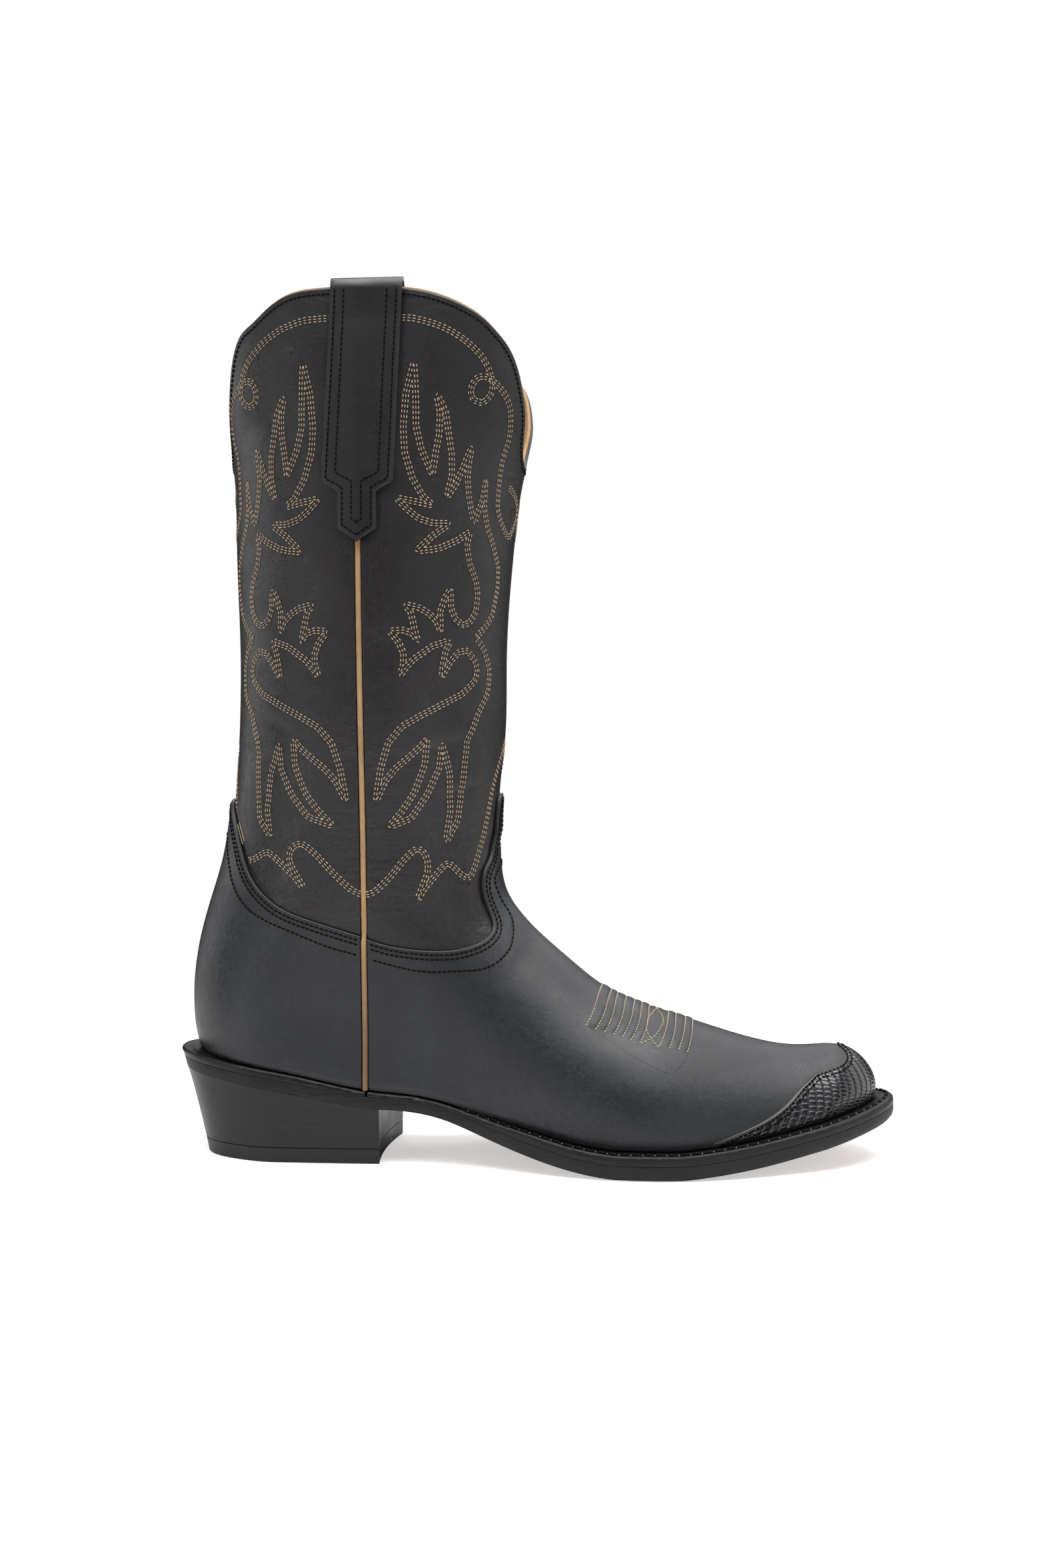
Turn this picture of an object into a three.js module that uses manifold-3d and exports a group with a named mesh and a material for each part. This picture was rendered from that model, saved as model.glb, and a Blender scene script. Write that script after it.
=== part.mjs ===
// A right-foot cowboy boot, built the way a bootmaker builds it: leather panels over a last,
// a welted leather sole, a stacked heel and the stiffeners that lie between the layers.
// Millimetres. X runs from heel to toe, Y to the wearer's left (the inner side of a right boot), Z up.
// The origin is on the ground, under the middle of the heel's base.
import * as THREE from "three";
import { mergeVertices } from "three/addons/utils/BufferGeometryUtils.js";
import Module from "manifold-3d";

// ---- Driving dimensions ----
const SOLE_LENGTH = 310; // outsole, heel to toe
const SHAFT_HEIGHT = 362; // ground to the top line at the sides
const SCALLOP_DEPTH = 64; // how far the top line dips at the front and back
const SHAFT_WIDTH = 104; // across the shaft at its top
const BALL_WIDTH = 93; // across the foot's widest part, on the upper's inner layers
const HEEL_BASE_LENGTH = 80.6;
const RAND_PROUD = 2.2; // how far the rand stands out past the sole behind the heel
const SHAFT_LEATHER = 1.4;
const VAMP_LEATHER = 1.4;
const CAP_LEATHER = 1.1;
const LINING_LEATHER = 1.2;
const GAP = 0.3; // clearance that each layer keeps to the next
const OUTSOLE_HEEL = 4.6;
const OUTSOLE_FOREPART = 5.8;
const WELT_THICKNESS = 3.8;
const RAND_THICKNESS = 3;
const WAIST_THICKNESS = 1.9; // rand and welt thin to this where they end in the waist
const INSOLE_THICKNESS = 3.6;
const SOCK_THICKNESS = 1.5;
const TOP_LIFT_THICKNESS = 6;
const LIFT_COUNT = 4;
const PIPING_WIDTH = 2.7;
const SEAM_X = 86.5; // the side seam, measured from the heel's back on the drawn last
const LAP = 9; // how far the shaft runs down under the vamp and counter
const STRAP_WIDTH = 29.5;
const STRAP_NECK_WIDTH = 16;
const STRAP_LEATHER = 2;
const STRAP_LENGTH = 103; // outer leg, from the top line to the point
const STRAP_INNER_LENGTH = 58;
const STRAP_LEAN = 4; // the strap's top lies this far in front of its point
const STRAP_RISE = 3.6; // height of the pull's arch over the top line
const BEADING_HEIGHT = 7;
const BEADING_PROUD = 1.5;
const SHANK_WIDTH = 15;
const SHANK_THICKNESS = 1.4;
const NAIL_RADIUS = 1.1;
const PEG_RADIUS = 1.1;

// ---- The last's outlines, drawn for a 310 mm sole and a 362 mm shaft ----
const DRAWN_LENGTH = 310;
const DRAWN_HEIGHT = 362;
const DRAWN_BALL = 93;
const DRAWN_SHAFT_WIDTH = 104;
const ANKLE_HEIGHT = 140; // heights above this stretch with the shaft
const BREAST_X = 93; // heel's front face
const WELT_START = 0.9; // how far round from the toe (0) to the side seam (1) the welt reaches
// [level, distance from the heel's back, height]; a level is a ring round the boot
const BACK_LINE = [
  [0, 10.7, 44],
  [20, 8, 53],
  [40, 6.9, 65],
  [60, 7.6, 78],
  [80, 10.6, 94],
  [100, 15.6, 111],
  [120, 20, 127],
  [140, 22.4, 143],
  [160, 24.5, 161],
  [180, 25.8, 180],
  [210, 26.5, 210],
  [260, 25.3, 260],
  [288, 24.3, 288],
  [303, 22.2, 303],
  [318, 18.2, 318],
  [335, 15.6, 335],
  [370, 13.5, 370],
];
const FRONT_LINE = [
  [0, 299.8, 24],
  [8, 299.6, 32],
  [16, 295.5, 39.2],
  [26, 285.5, 44.8],
  [38, 267, 44.6],
  [50, 244, 49],
  [64, 216, 58],
  [78, 188, 68.4],
  [90, 170, 81.5],
  [102, 153.5, 96.2],
  [112, 143.5, 108.5],
  [122, 139.6, 120],
  [140, 139.2, 141],
  [160, 140.3, 161],
  [180, 142.1, 180],
  [210, 143, 210],
  [260, 146, 260],
  [285, 148.6, 285],
  [300, 152, 300],
  [315, 157.5, 315],
  [335, 162.5, 335],
  [370, 166, 370],
];
const SOLE_LINE = [ // the outsole's underside
  [0, 37.4],
  [50, 29.7],
  [93, 22.9],
  [104, 21.9],
  [118, 19.4],
  [135, 13.6],
  [159, 5.8],
  [180, 1.2],
  [196, -0.3],
  [214, -0.3],
  [230, 1],
  [250, 3.6],
  [270, 7.4],
  [290, 11.8],
  [310, 17],
];
// half-widths of the foot part on each side of its middle line
const OUTER_WIDTH = [
  [0, 31], [40, 31.5], [75, 31.5], [100, 31], [125, 32.5], [150, 37.5], [175, 43.5],
  [200, 47.5], [222, 46.5], [245, 41], [270, 33.5], [290, 28], [310, 26],
];
const INNER_WIDTH = [
  [0, 31], [40, 31.5], [75, 30.5], [100, 28.5], [125, 29.5], [150, 34.5], [175, 41],
  [200, 45.5], [222, 45.5], [245, 41], [270, 34], [290, 28.5], [310, 26],
];
const LEG_WIDTH = [ // half-width of the leg part by height
  [60, 36], [115, 37], [140, 38.5], [165, 41.5], [190, 44.7], [215, 47.2],
  [245, 49.3], [275, 50.6], [310, 51.5], [370, 52.4],
];
const FOOT_ROUNDING = [ // how far in from the outline the foot's surface turns over
  [0, 34], [60, 36], [120, 44], [170, 46], [215, 43], [260, 38], [310, 42],
];
const LEG_ROUNDING = 58;
const TOE_INFLARE = 7; // the toe's swing to the inner side
// how far the sole's edge stands out from the upper's inner layers
const SOLE_EDGE = [
  [0, 8.8], [10, 8.4], [22, 4.6], [36, 3.3], [60, 3], [93, 3], [115, 2.8], [135, 4.4],
  [160, 7.2], [190, 8.8], [240, 9.2], [310, 10],
];
// top edges of the foot's panels, as [distance round from the front centre, level]:
// 0 is the front centre, 1 the side seam, 2 the back centre
const VAMP_TOP = [
  [0, 160], [0.05, 157.5], [0.09, 152], [0.12, 144], [0.15, 135.5], [0.22, 127.5], [0.29, 123],
  [0.335, 116.5], [0.36, 110.5], [0.4, 104.5], [0.451, 101], [0.519, 98], [0.593, 95.6], [0.68, 93.5],
  [0.77, 92.4], [0.85, 92.2], [0.93, 92.6], [1, 94],
];
const COUNTER_TOP = [
  [1, 94], [1.14, 96.2], [1.23, 97.9], [1.33, 100.5], [1.42, 104.8], [1.53, 113], [1.61, 122.5],
  [1.69, 134], [1.78, 143.5], [1.88, 149], [2, 151],
];
const CAP_TOP = [
  [0, 27], [0.07, 25.2], [0.1, 22.6], [0.14, 20], [0.18, 18.6], [0.24, 17.9], [0.27, 17.3], [0.29, 16],
  [0.315, 14.3], [0.34, 11.9], [0.36, 9.9], [0.39, 7.4], [0.42, 5.6], [0.45, 4.1], [0.5, 1.6],
];
// share of the scallop's depth by distance round from the front and back centres
const FRONT_SCALLOP = [
  [0, 1], [0.09, 0.98], [0.17, 0.87], [0.225, 0.735], [0.285, 0.6], [0.34, 0.47], [0.41, 0.335],
  [0.47, 0.257], [0.53, 0.187], [0.61, 0.12], [0.69, 0.07], [0.8, 0.025], [1, 0],
];
const BACK_SCALLOP = [
  [0, 1], [0.12, 0.97], [0.22, 0.87], [0.31, 0.72], [0.362, 0.586], [0.396, 0.46], [0.431, 0.345],
  [0.478, 0.25], [0.554, 0.185], [0.647, 0.1], [0.74, 0.035], [0.85, 0.01], [1, 0],
];
const TOE_BOX_END = 0.4; // how far round each side the toe box reaches
const TOE_BOX_LEVEL = 46;

// ---- Small tools ----
const wasm = await Module();
wasm.setup();

const mix = (a, b, share) => a + (b - a) * share;
const always = (value) => () => value;
const clamp = (value, low, high) => Math.min(high, Math.max(low, value));
const smooth = (from, to, value) => {
  const s = clamp((value - from) / (to - from), 0, 1);
  return s * s * (3 - 2 * s);
};

// Natural cubic spline through [position, value] pairs, straight beyond its ends.
function spline(pairs) {
  const n = pairs.length;
  const x = pairs.map((p) => p[0]);
  const y = pairs.map((p) => p[1]);
  const bend = new Array(n).fill(0);
  const upper = new Array(n).fill(0);
  for (let i = 1; i < n - 1; i++) {
    const share = (x[i] - x[i - 1]) / (x[i + 1] - x[i - 1]);
    const pivot = share * bend[i - 1] + 2;
    bend[i] = (share - 1) / pivot;
    const turn = (y[i + 1] - y[i]) / (x[i + 1] - x[i]) - (y[i] - y[i - 1]) / (x[i] - x[i - 1]);
    upper[i] = ((6 * turn) / (x[i + 1] - x[i - 1]) - share * upper[i - 1]) / pivot;
  }
  bend[n - 1] = 0;
  for (let i = n - 2; i >= 0; i--) bend[i] = bend[i] * bend[i + 1] + upper[i];
  const inside = (q, i) => {
    const step = x[i + 1] - x[i];
    const a = (x[i + 1] - q) / step;
    const b = 1 - a;
    const bow = (a ** 3 - a) * bend[i] + (b ** 3 - b) * bend[i + 1];
    return a * y[i] + b * y[i + 1] + (bow * step ** 2) / 6;
  };
  const nudge = 1e-3;
  return (q) => {
    if (q <= x[0]) return y[0] + ((q - x[0]) * (inside(x[0] + nudge, 0) - y[0])) / nudge;
    const [lastX, lastY] = [x[n - 1], y[n - 1]];
    if (q >= lastX) return lastY + ((q - lastX) * (lastY - inside(lastX - nudge, n - 2))) / nudge;
    let i = 0;
    while (q > x[i + 1]) i++;
    return inside(q, i);
  };
}

// ---- Sizes worked out from the driving dimensions ----
const along = (x) => (x * SOLE_LENGTH) / DRAWN_LENGTH;
const up = (z) =>
  z <= ANKLE_HEIGHT
    ? z
    : ANKLE_HEIGHT + ((z - ANKLE_HEIGHT) * (SHAFT_HEIGHT - ANKLE_HEIGHT)) / (DRAWN_HEIGHT - ANKLE_HEIGHT);
const alongPairs = (pairs, scale = 1) => pairs.map(([x, y]) => [along(x), y * scale]);

const breastX = along(BREAST_X);
const seamX = along(SEAM_X);
const outlineX = (rows) => spline(rows.map(([level, x]) => [level, along(x)]));
const backX = outlineX(BACK_LINE);
const frontX = outlineX(FRONT_LINE);

// Angle of the side seam on a ring of the boot's form (see below).
const seamAngle = (level) =>
  Math.acos(clamp((2 * (seamX - backX(level))) / (frontX(level) - backX(level)) - 1, -1, 1));
const weltStartX = mix(backX(0), frontX(0), (1 + Math.cos(WELT_START * seamAngle(0))) / 2);
const soleCurve = spline(alongPairs(SOLE_LINE));
const soleBottom = (x) => Math.max(0, soleCurve(x));
const soleThickness = (x) => mix(OUTSOLE_HEEL, OUTSOLE_FOREPART, smooth(along(115), along(165), x));
const randThickness = (x) => mix(RAND_THICKNESS, WAIST_THICKNESS, smooth(along(55), seamX, x));
const weltThickness = (x) => mix(WAIST_THICKNESS, WELT_THICKNESS, smooth(weltStartX, along(165), x));
// the layer between the outsole and the upper's edge: rand over the heel, welt in front
const layerThickness = (x) => {
  const thickness = x < seamX ? randThickness(x) : weltThickness(x);
  return thickness + GAP;
};
const soleTop = (x) => soleBottom(x) + soleThickness(x);
const featherZ = (x) => soleTop(x) + layerThickness(x) + GAP; // the upper's lower edge

const outlineZ = (rows, heightOf) => spline(rows.map(([level, x, z]) => [level, heightOf(level, x, z)]));
const onLine = (level, x, z) => (level === 0 ? featherZ(along(x)) : up(z));
const backZ = outlineZ(BACK_LINE, onLine);
const frontZ = outlineZ(FRONT_LINE, onLine);
const footWidth = [
  spline(alongPairs(OUTER_WIDTH, BALL_WIDTH / DRAWN_BALL)),
  spline(alongPairs(INNER_WIDTH, BALL_WIDTH / DRAWN_BALL)),
];
const legWidth = spline(LEG_WIDTH.map(([z, w]) => [up(z), (w * SHAFT_WIDTH) / DRAWN_SHAFT_WIDTH]));
const footRounding = spline(alongPairs(FOOT_ROUNDING));
const inflare = (x) => TOE_INFLARE * smooth(along(150), along(320), x) ** 1.5;

// ---- The boot's form ----
// Rings run round the boot from the sole's edge (level 0) to the top line. A place on a ring is the
// angle phi: 0 at the front, 180 degrees at the back, positive on the inner side. Seen from the side a
// ring is a line from the back outline to the front outline that sags to the sole's edge at level 0.
const RING_SAG_END = 120;
const HIGHEST_LEVEL = 370;
const outlinePoints = [];
for (let level = 0; level <= HIGHEST_LEVEL; level += 1.5) {
  outlinePoints.push([backX(level), backZ(level), frontX(level), frontZ(level)]);
}

function distanceToOutline(x, z) {
  let nearest = Infinity;
  for (let i = 0; i + 1 < outlinePoints.length; i++) {
    for (const side of [0, 2]) {
      const ax = outlinePoints[i][side];
      const az = outlinePoints[i][side + 1];
      const dx = outlinePoints[i + 1][side] - ax;
      const dz = outlinePoints[i + 1][side + 1] - az;
      const share = clamp(((x - ax) * dx + (z - az) * dz) / (dx * dx + dz * dz), 0, 1);
      nearest = Math.min(nearest, Math.hypot(x - ax - share * dx, z - az - share * dz));
    }
  }
  return nearest;
}

// Half-width of the boot at a place in its side view: the full width there, turned over to nothing
// along a quarter ellipse as the place nears the outline.
function halfWidth(x, z, side) {
  const leg = smooth(45, 125, z);
  const full = mix(footWidth[side](x), legWidth(z), leg);
  const rounding = mix(footRounding(x), LEG_ROUNDING, leg);
  const share = Math.min(1, distanceToOutline(x, z) / rounding);
  return full * Math.sqrt(share * (2 - share));
}

function ringPlace(share, level) {
  const x = mix(backX(level), frontX(level), share);
  const edgeX = mix(backX(0), frontX(0), share);
  const sag = Math.max(0, 1 - level / RING_SAG_END) ** 1.6;
  const toFeather = featherZ(edgeX) - mix(backZ(0), frontZ(0), share);
  const z = mix(backZ(level), frontZ(level), share) + sag * toFeather;
  return [x, z];
}

// round: 0 front centre, 1 inner side seam, 2 back centre, 3 or -1 outer side seam
function angleAt(round, level) {
  const seam = seamAngle(level);
  const past = Math.abs(round) - 1;
  return past <= 0 ? round * seam : Math.sign(round) * (seam + past * (Math.PI - seam));
}

function surface(round, level) {
  const phi = angleAt(round, level);
  const share = (1 + Math.cos(phi)) / 2;
  const [x, z] = ringPlace(share, level);
  const sine = Math.sin(phi);
  const reach = Math.abs(sine) < 1e-9 ? 0 : Math.sign(sine) * halfWidth(x, z, sine > 0 ? 1 : 0);
  return new THREE.Vector3(x, inflare(x) + reach, z);
}

function outward(round, level) {
  const du = surface(round + 0.03, level).sub(surface(round - 0.03, level));
  const dh = surface(round, level + 0.6).sub(surface(round, Math.max(0, level - 0.6)));
  const normal = du.cross(dh).normalize();
  normal.z *= smooth(0, 14, level); // level with the ground at the sole's edge
  return normal.normalize();
}

// A place in the leather: on a ring, at a distance out from the shaft's outer face.
function layerPoint(round, level, offset) {
  const at = surface(round, level);
  const moved = at.clone().addScaledVector(outward(round, level), offset);
  moved.z += (featherZ(moved.x) - featherZ(at.x)) * (1 - smooth(0, 25, level));
  return moved;
}

// Distance along a ring as a difference in round.
function roundShare(round, level, mm) {
  const step = 0.01;
  return (mm * 2 * step) / surface(round + step, level).distanceTo(surface(round - step, level));
}

// ---- Solids ----
// A closed geometry from triples of Vector3: shared corners merged, collapsed faces dropped.
function solidFrom(triangles) {
  const loose = new THREE.BufferGeometry();
  const numbers = triangles.flatMap((p) => [p.x, p.y, p.z]);
  loose.setAttribute("position", new THREE.Float32BufferAttribute(numbers, 3));
  const merged = mergeVertices(loose, 1e-3);
  const index = [...merged.index.array];
  const kept = [];
  for (let i = 0; i < index.length; i += 3) {
    const [a, b, c] = index.slice(i, i + 3);
    if (a !== b && b !== c && a !== c) kept.push(a, b, c);
  }
  merged.setIndex(kept);
  if (signedVolume(merged) < 0) {
    for (let i = 0; i < kept.length; i += 3) [kept[i + 1], kept[i + 2]] = [kept[i + 2], kept[i + 1]];
    merged.setIndex(kept);
  }
  return merged;
}

function signedVolume(geometry) {
  const p = geometry.attributes.position;
  const corner = (i) => new THREE.Vector3().fromBufferAttribute(p, i);
  let six = 0;
  for (let i = 0; i < geometry.index.count; i += 3) {
    const [a, b, c] = [0, 1, 2].map((k) => corner(geometry.index.getX(i + k)));
    six += a.dot(b.cross(c));
  }
  return six / 6;
}

const quad = (a, b, c, d) => [a, b, c, a, c, d];

// A solid whose cross-sections are rings of points with the same count; the ends are closed by fans.
function loft(rings) {
  const faces = [];
  const count = rings[0].length;
  for (let i = 0; i + 1 < rings.length; i++) {
    for (let k = 0; k < count; k++) {
      const next = (k + 1) % count;
      faces.push(...quad(rings[i][k], rings[i][next], rings[i + 1][next], rings[i + 1][k]));
    }
  }
  const first = rings[0];
  const last = rings[rings.length - 1];
  for (let k = 1; k + 1 < count; k++) {
    faces.push(first[0], first[k + 1], first[k]);
    faces.push(last[0], last[k], last[k + 1]);
  }
  return solidFrom(faces);
}

// Columns and rows shared by all layers, so that their facets stay parallel.
const FRONT_HALF = [0, 0.06, 0.13, 0.21, 0.3, 0.4, 0.5, 0.6, 0.7, 0.8, 0.9, 1];
const BACK_HALF = [0, 0.1, 0.22, 0.36, 0.52, 0.68, 0.84, 1];
const bothSides = (half) => [...half.slice(1).reverse().map((r) => -r), ...half];
const FRONT_COLUMNS = bothSides(FRONT_HALF);
const BACK_COLUMNS = bothSides(BACK_HALF).map((r) => r + 2);
const ROWS = [0, 6, 13, 22, 34, 50, 70, 81, 92, 102, 112, 132, 160, 210, 280, 303, 322, 338, 354, 366];
const TRIM_STEP = 0.05; // a trimmed edge has a corner this often
const TRIM_REACH = 4.6; // a trimming tool reaches this far out and in
const inside = (value, ends) => value > ends[0] && value < ends[1];

// A leather panel: a stretch of the boot's surface, given a thickness and trimmed along its edges.
function panel({ columns, low, high, inner, outer, seamGap = GAP }) {
  const centre = (columns[0] + columns[columns.length - 1]) / 2;
  const lowest = Math.min(...columns.map(low));
  const highest = Math.max(...columns.map(high));
  const first = ROWS.findLast((level) => level <= lowest);
  const last = ROWS.find((level) => level >= highest);
  const rows = ROWS.filter((level) => level >= first && level <= last);
  const corner = (r, level, offset) => layerPoint(besideSeam(r, level, seamGap, centre), level, offset);
  const side = (offset) => columns.map((r) => rows.map((level) => corner(r, level, offset)));
  const tools = [trimTool(columns, high, always(last + 4))];
  if (lowest > 0) tools.push(trimTool(columns, always(first - 2), low));
  return cut(between(side(outer), side(inner)), tools);
}

// The space that a panel's edge is trimmed away to.
function trimTool(columns, low, high) {
  const from = columns[0] - 2 * TRIM_STEP;
  const count = Math.ceil((columns[columns.length - 1] - from) / TRIM_STEP) + 2;
  const rounds = Array.from({ length: count }, (_, i) => from + i * TRIM_STEP);
  const ends = [Math.min(...rounds.map(low)), Math.max(...rounds.map(high))];
  const levels = [ends[0], ...ROWS.filter((level) => inside(level, ends)), ends[1]];
  const side = (offset) =>
    rounds.map((r) => levels.map((level) => layerPoint(r, clamp(level, low(r), high(r)), offset)));
  return between(side(TRIM_REACH), side(-TRIM_REACH));
}

// A column on a side seam moves back from the seam by half the seam's gap; other columns stay.
function besideSeam(round, level, seamGap, panelCentre) {
  if (Math.abs(round - panelCentre) !== 1) return round;
  const towardsCentre = round > panelCentre ? -1 : 1;
  return round + towardsCentre * roundShare(round, level, seamGap / 2);
}

// Closes the space between two matching grids of points.
function between(front, back) {
  const faces = [];
  const columns = front.length - 1;
  const rows = front[0].length - 1;
  for (let i = 0; i < columns; i++) {
    for (let j = 0; j < rows; j++) {
      faces.push(...quad(front[i][j], front[i + 1][j], front[i + 1][j + 1], front[i][j + 1]));
      faces.push(...quad(back[i][j], back[i][j + 1], back[i + 1][j + 1], back[i + 1][j]));
    }
    faces.push(...quad(front[i][0], back[i][0], back[i + 1][0], front[i + 1][0]));
    faces.push(...quad(front[i][rows], front[i + 1][rows], back[i + 1][rows], back[i][rows]));
  }
  for (let j = 0; j < rows; j++) {
    faces.push(...quad(front[0][j], front[0][j + 1], back[0][j + 1], back[0][j]));
    faces.push(...quad(front[columns][j], back[columns][j], back[columns][j + 1], front[columns][j + 1]));
  }
  return solidFrom(faces);
}

const asManifold = (geometry) =>
  new wasm.Manifold(
    new wasm.Mesh({
      numProp: 3,
      vertProperties: geometry.attributes.position.array,
      triVerts: new Uint32Array(geometry.index.array),
    }),
  );

function asGeometry(solid) {
  const mesh = solid.getMesh();
  return new THREE.BufferGeometry()
    .setAttribute("position", new THREE.BufferAttribute(mesh.vertProperties, 3))
    .setIndex(new THREE.BufferAttribute(mesh.triVerts, 1));
}

const cut = (geometry, tools) =>
  asGeometry(tools.reduce((solid, tool) => solid.subtract(asManifold(tool)), asManifold(geometry)));

// ---- Plates of the sole ----
// The sole's plates have extra corners round the toe and ball, where their edge shows its curve.
const BACK_ROUNDS = BACK_HALF.slice(0, -1).reverse().map((r) => 2 - r);
const UPPER_ROUNDS = [...FRONT_HALF, ...BACK_ROUNDS];
const SOLE_HALF = [
  0, 0.03, 0.06, 0.095, 0.13, 0.17, 0.21, 0.255, 0.3, 0.35,
  0.4, 0.45, 0.5, 0.55, 0.6, 0.65, 0.7, 0.8, 0.9, 1,
];
const SOLE_ROUNDS = [...SOLE_HALF, ...BACK_ROUNDS];

// The upper's edge at the sole, moved out (or in, below zero) in plan.
function edgePoint(round, distance) {
  const at = surface(round, 0);
  const tangent = surface(round + 0.02, 0).sub(surface(round - 0.02, 0));
  const length = Math.hypot(tangent.x, tangent.y);
  return [at.x + (tangent.y * distance) / length, at.y - (tangent.x * distance) / length];
}
const soleEdge = spline(alongPairs(SOLE_EDGE));
const solePoint = (round, inset = 0) => edgePoint(round, soleEdge(surface(round, 0).x) - inset);

// Where round the edge a given distance from the heel's back lies.
function roundAtX(x, pointAt) {
  let low = 0;
  let high = 2;
  for (let i = 0; i < 40; i++) {
    const middle = (low + high) / 2;
    if (pointAt(middle)[0] > x) low = middle;
    else high = middle;
  }
  return (low + high) / 2;
}

// A plate between two ends, spanning from the outer edge to the inner edge of the boot.
function plate({ pointAt, fromX, toX, under, over, corners = SOLE_ROUNDS }) {
  const back = fromX === null ? 2 : roundAtX(fromX, pointAt);
  const front = toX === null ? 0 : roundAtX(toX, pointAt);
  const rounds = [front, ...corners.filter((r) => r > front + 0.01 && r < back - 0.01), back];
  const rings = rounds.map((r) => {
    const left = pointAt(r);
    const right = pointAt(-r);
    return [
      new THREE.Vector3(...right, under(right[0])),
      new THREE.Vector3(...left, under(left[0])),
      new THREE.Vector3(...left, over(left[0])),
      new THREE.Vector3(...right, over(right[0])),
    ];
  });
  return loft(rings);
}

// A strip that follows the edge of the boot, between two distances in from the sole's edge.
function edgeStrip({ rounds, outerAt, innerAt, under, over }) {
  return loft(
    rounds.map((r) => {
      const out = outerAt(r);
      const into = innerAt(r);
      return [
        new THREE.Vector3(...out, under(out[0])),
        new THREE.Vector3(...into, under(into[0])),
        new THREE.Vector3(...into, over(into[0])),
        new THREE.Vector3(...out, over(out[0])),
      ];
    }),
  );
}

// ---- Layers: distances out from the shaft leather's outer face ----
const SHAFT_INNER = -SHAFT_LEATHER;
const LINING_OUTER = SHAFT_INNER - GAP;
const LINING_INNER = LINING_OUTER - LINING_LEATHER;
const VAMP_INNER = GAP;
const VAMP_OUTER = VAMP_INNER + VAMP_LEATHER;
const CAP_INNER = VAMP_OUTER + GAP;
const STRAP_INNER = 1.3; // clears the piping's bead
const STRAP_OUTER = STRAP_INNER + STRAP_LEATHER;
const STRAP_LINING_SIDE = LINING_INNER - 2 * GAP;

const frontScallop = spline(FRONT_SCALLOP);
const backScallop = spline(BACK_SCALLOP);
const scallopDrop = (SCALLOP_DEPTH * (DRAWN_HEIGHT - ANKLE_HEIGHT)) / (SHAFT_HEIGHT - ANKLE_HEIGHT);
const topLevel = (round) => {
  const turned = Math.abs(round > 2 ? 4 - round : round);
  const drop = turned <= 1 ? frontScallop(turned) : backScallop(2 - turned);
  return DRAWN_HEIGHT - scallopDrop * drop;
};
const vampCurve = spline(VAMP_TOP);
const counterCurve = spline(COUNTER_TOP);
const vampTop = (round) => vampCurve(Math.abs(round));
const counterTop = (round) => counterCurve(round > 2 ? 4 - round : round);
const shaftFrontLow = (round) => vampTop(round) - LAP;
const shaftBackLow = (round) => counterTop(round) - LAP;
const capCurve = spline(CAP_TOP);
const LEVEL_GAP = 0.9; // levels between two panels that meet edge to edge
const liningTop = (round) => topLevel(round) - BEADING_HEIGHT;

const PANEL_SEAM = PIPING_WIDTH + 2 * GAP;
const onFront = (shape) => panel({ columns: FRONT_COLUMNS, ...shape });
const onBack = (shape) => panel({ columns: BACK_COLUMNS, ...shape });

const makeShaftFront = () =>
  onFront({ low: shaftFrontLow, high: topLevel, inner: SHAFT_INNER, outer: 0, seamGap: PANEL_SEAM });
const makeShaftBack = () =>
  onBack({ low: shaftBackLow, high: topLevel, inner: SHAFT_INNER, outer: 0, seamGap: PANEL_SEAM });
const makeVamp = () =>
  onFront({ low: always(0), high: vampTop, inner: VAMP_INNER, outer: VAMP_OUTER, seamGap: PANEL_SEAM });
const makeCounter = () =>
  onBack({ low: always(0), high: counterTop, inner: VAMP_INNER, outer: VAMP_OUTER, seamGap: PANEL_SEAM });

// Linings: the shaft's and the foot's meet behind the shaft's lower edge.
const footLiningTop = (low) => (round) => low(round) + 3;
const shaftLiningLow = (low) => (round) => low(round) + 3 + LEVEL_GAP;
const lining = { inner: LINING_INNER, outer: LINING_OUTER };
const makeShaftLiningFront = () =>
  onFront({ low: shaftLiningLow(shaftFrontLow), high: liningTop, ...lining });
const makeShaftLiningBack = () =>
  onBack({ low: shaftLiningLow(shaftBackLow), high: liningTop, ...lining });
const makeVampLining = () => onFront({ low: always(0), high: footLiningTop(shaftFrontLow), ...lining });
const makeCounterLining = () => onBack({ low: always(0), high: footLiningTop(shaftBackLow), ...lining });

// The folded tan edging that stands over the top line, in line with the lining.
const edging = {
  low: (round) => liningTop(round) + LEVEL_GAP,
  high: (round) => topLevel(round) + BEADING_PROUD,
  ...lining,
};
const makeEdgingFront = () => onFront(edging);
const makeEdgingBack = () => onBack(edging);

// Stiffeners fill the layer between vamp or counter and lining.
const middle = { inner: SHAFT_INNER, outer: 0, seamGap: PANEL_SEAM };
const TOE_BOX_COLUMNS = FRONT_COLUMNS.filter((r) => Math.abs(r) <= TOE_BOX_END);
const toeBoxTop = (round) => mix(TOE_BOX_LEVEL, 12, smooth(0, TOE_BOX_END, Math.abs(round)));
const makeToeBox = () => panel({ columns: TOE_BOX_COLUMNS, low: always(0), high: toeBoxTop, ...middle });
const interliningLow = (round) =>
  mix(toeBoxTop(round) + LEVEL_GAP, 0.01, smooth(TOE_BOX_END + 0.01, TOE_BOX_END + 0.1, Math.abs(round)));
const makeInterlining = () =>
  onFront({ low: interliningLow, high: (round) => shaftFrontLow(round) - LEVEL_GAP, ...middle });
const makeHeelStiffener = () =>
  onBack({ low: always(0), high: (round) => shaftBackLow(round) - LEVEL_GAP, ...middle });

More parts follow.
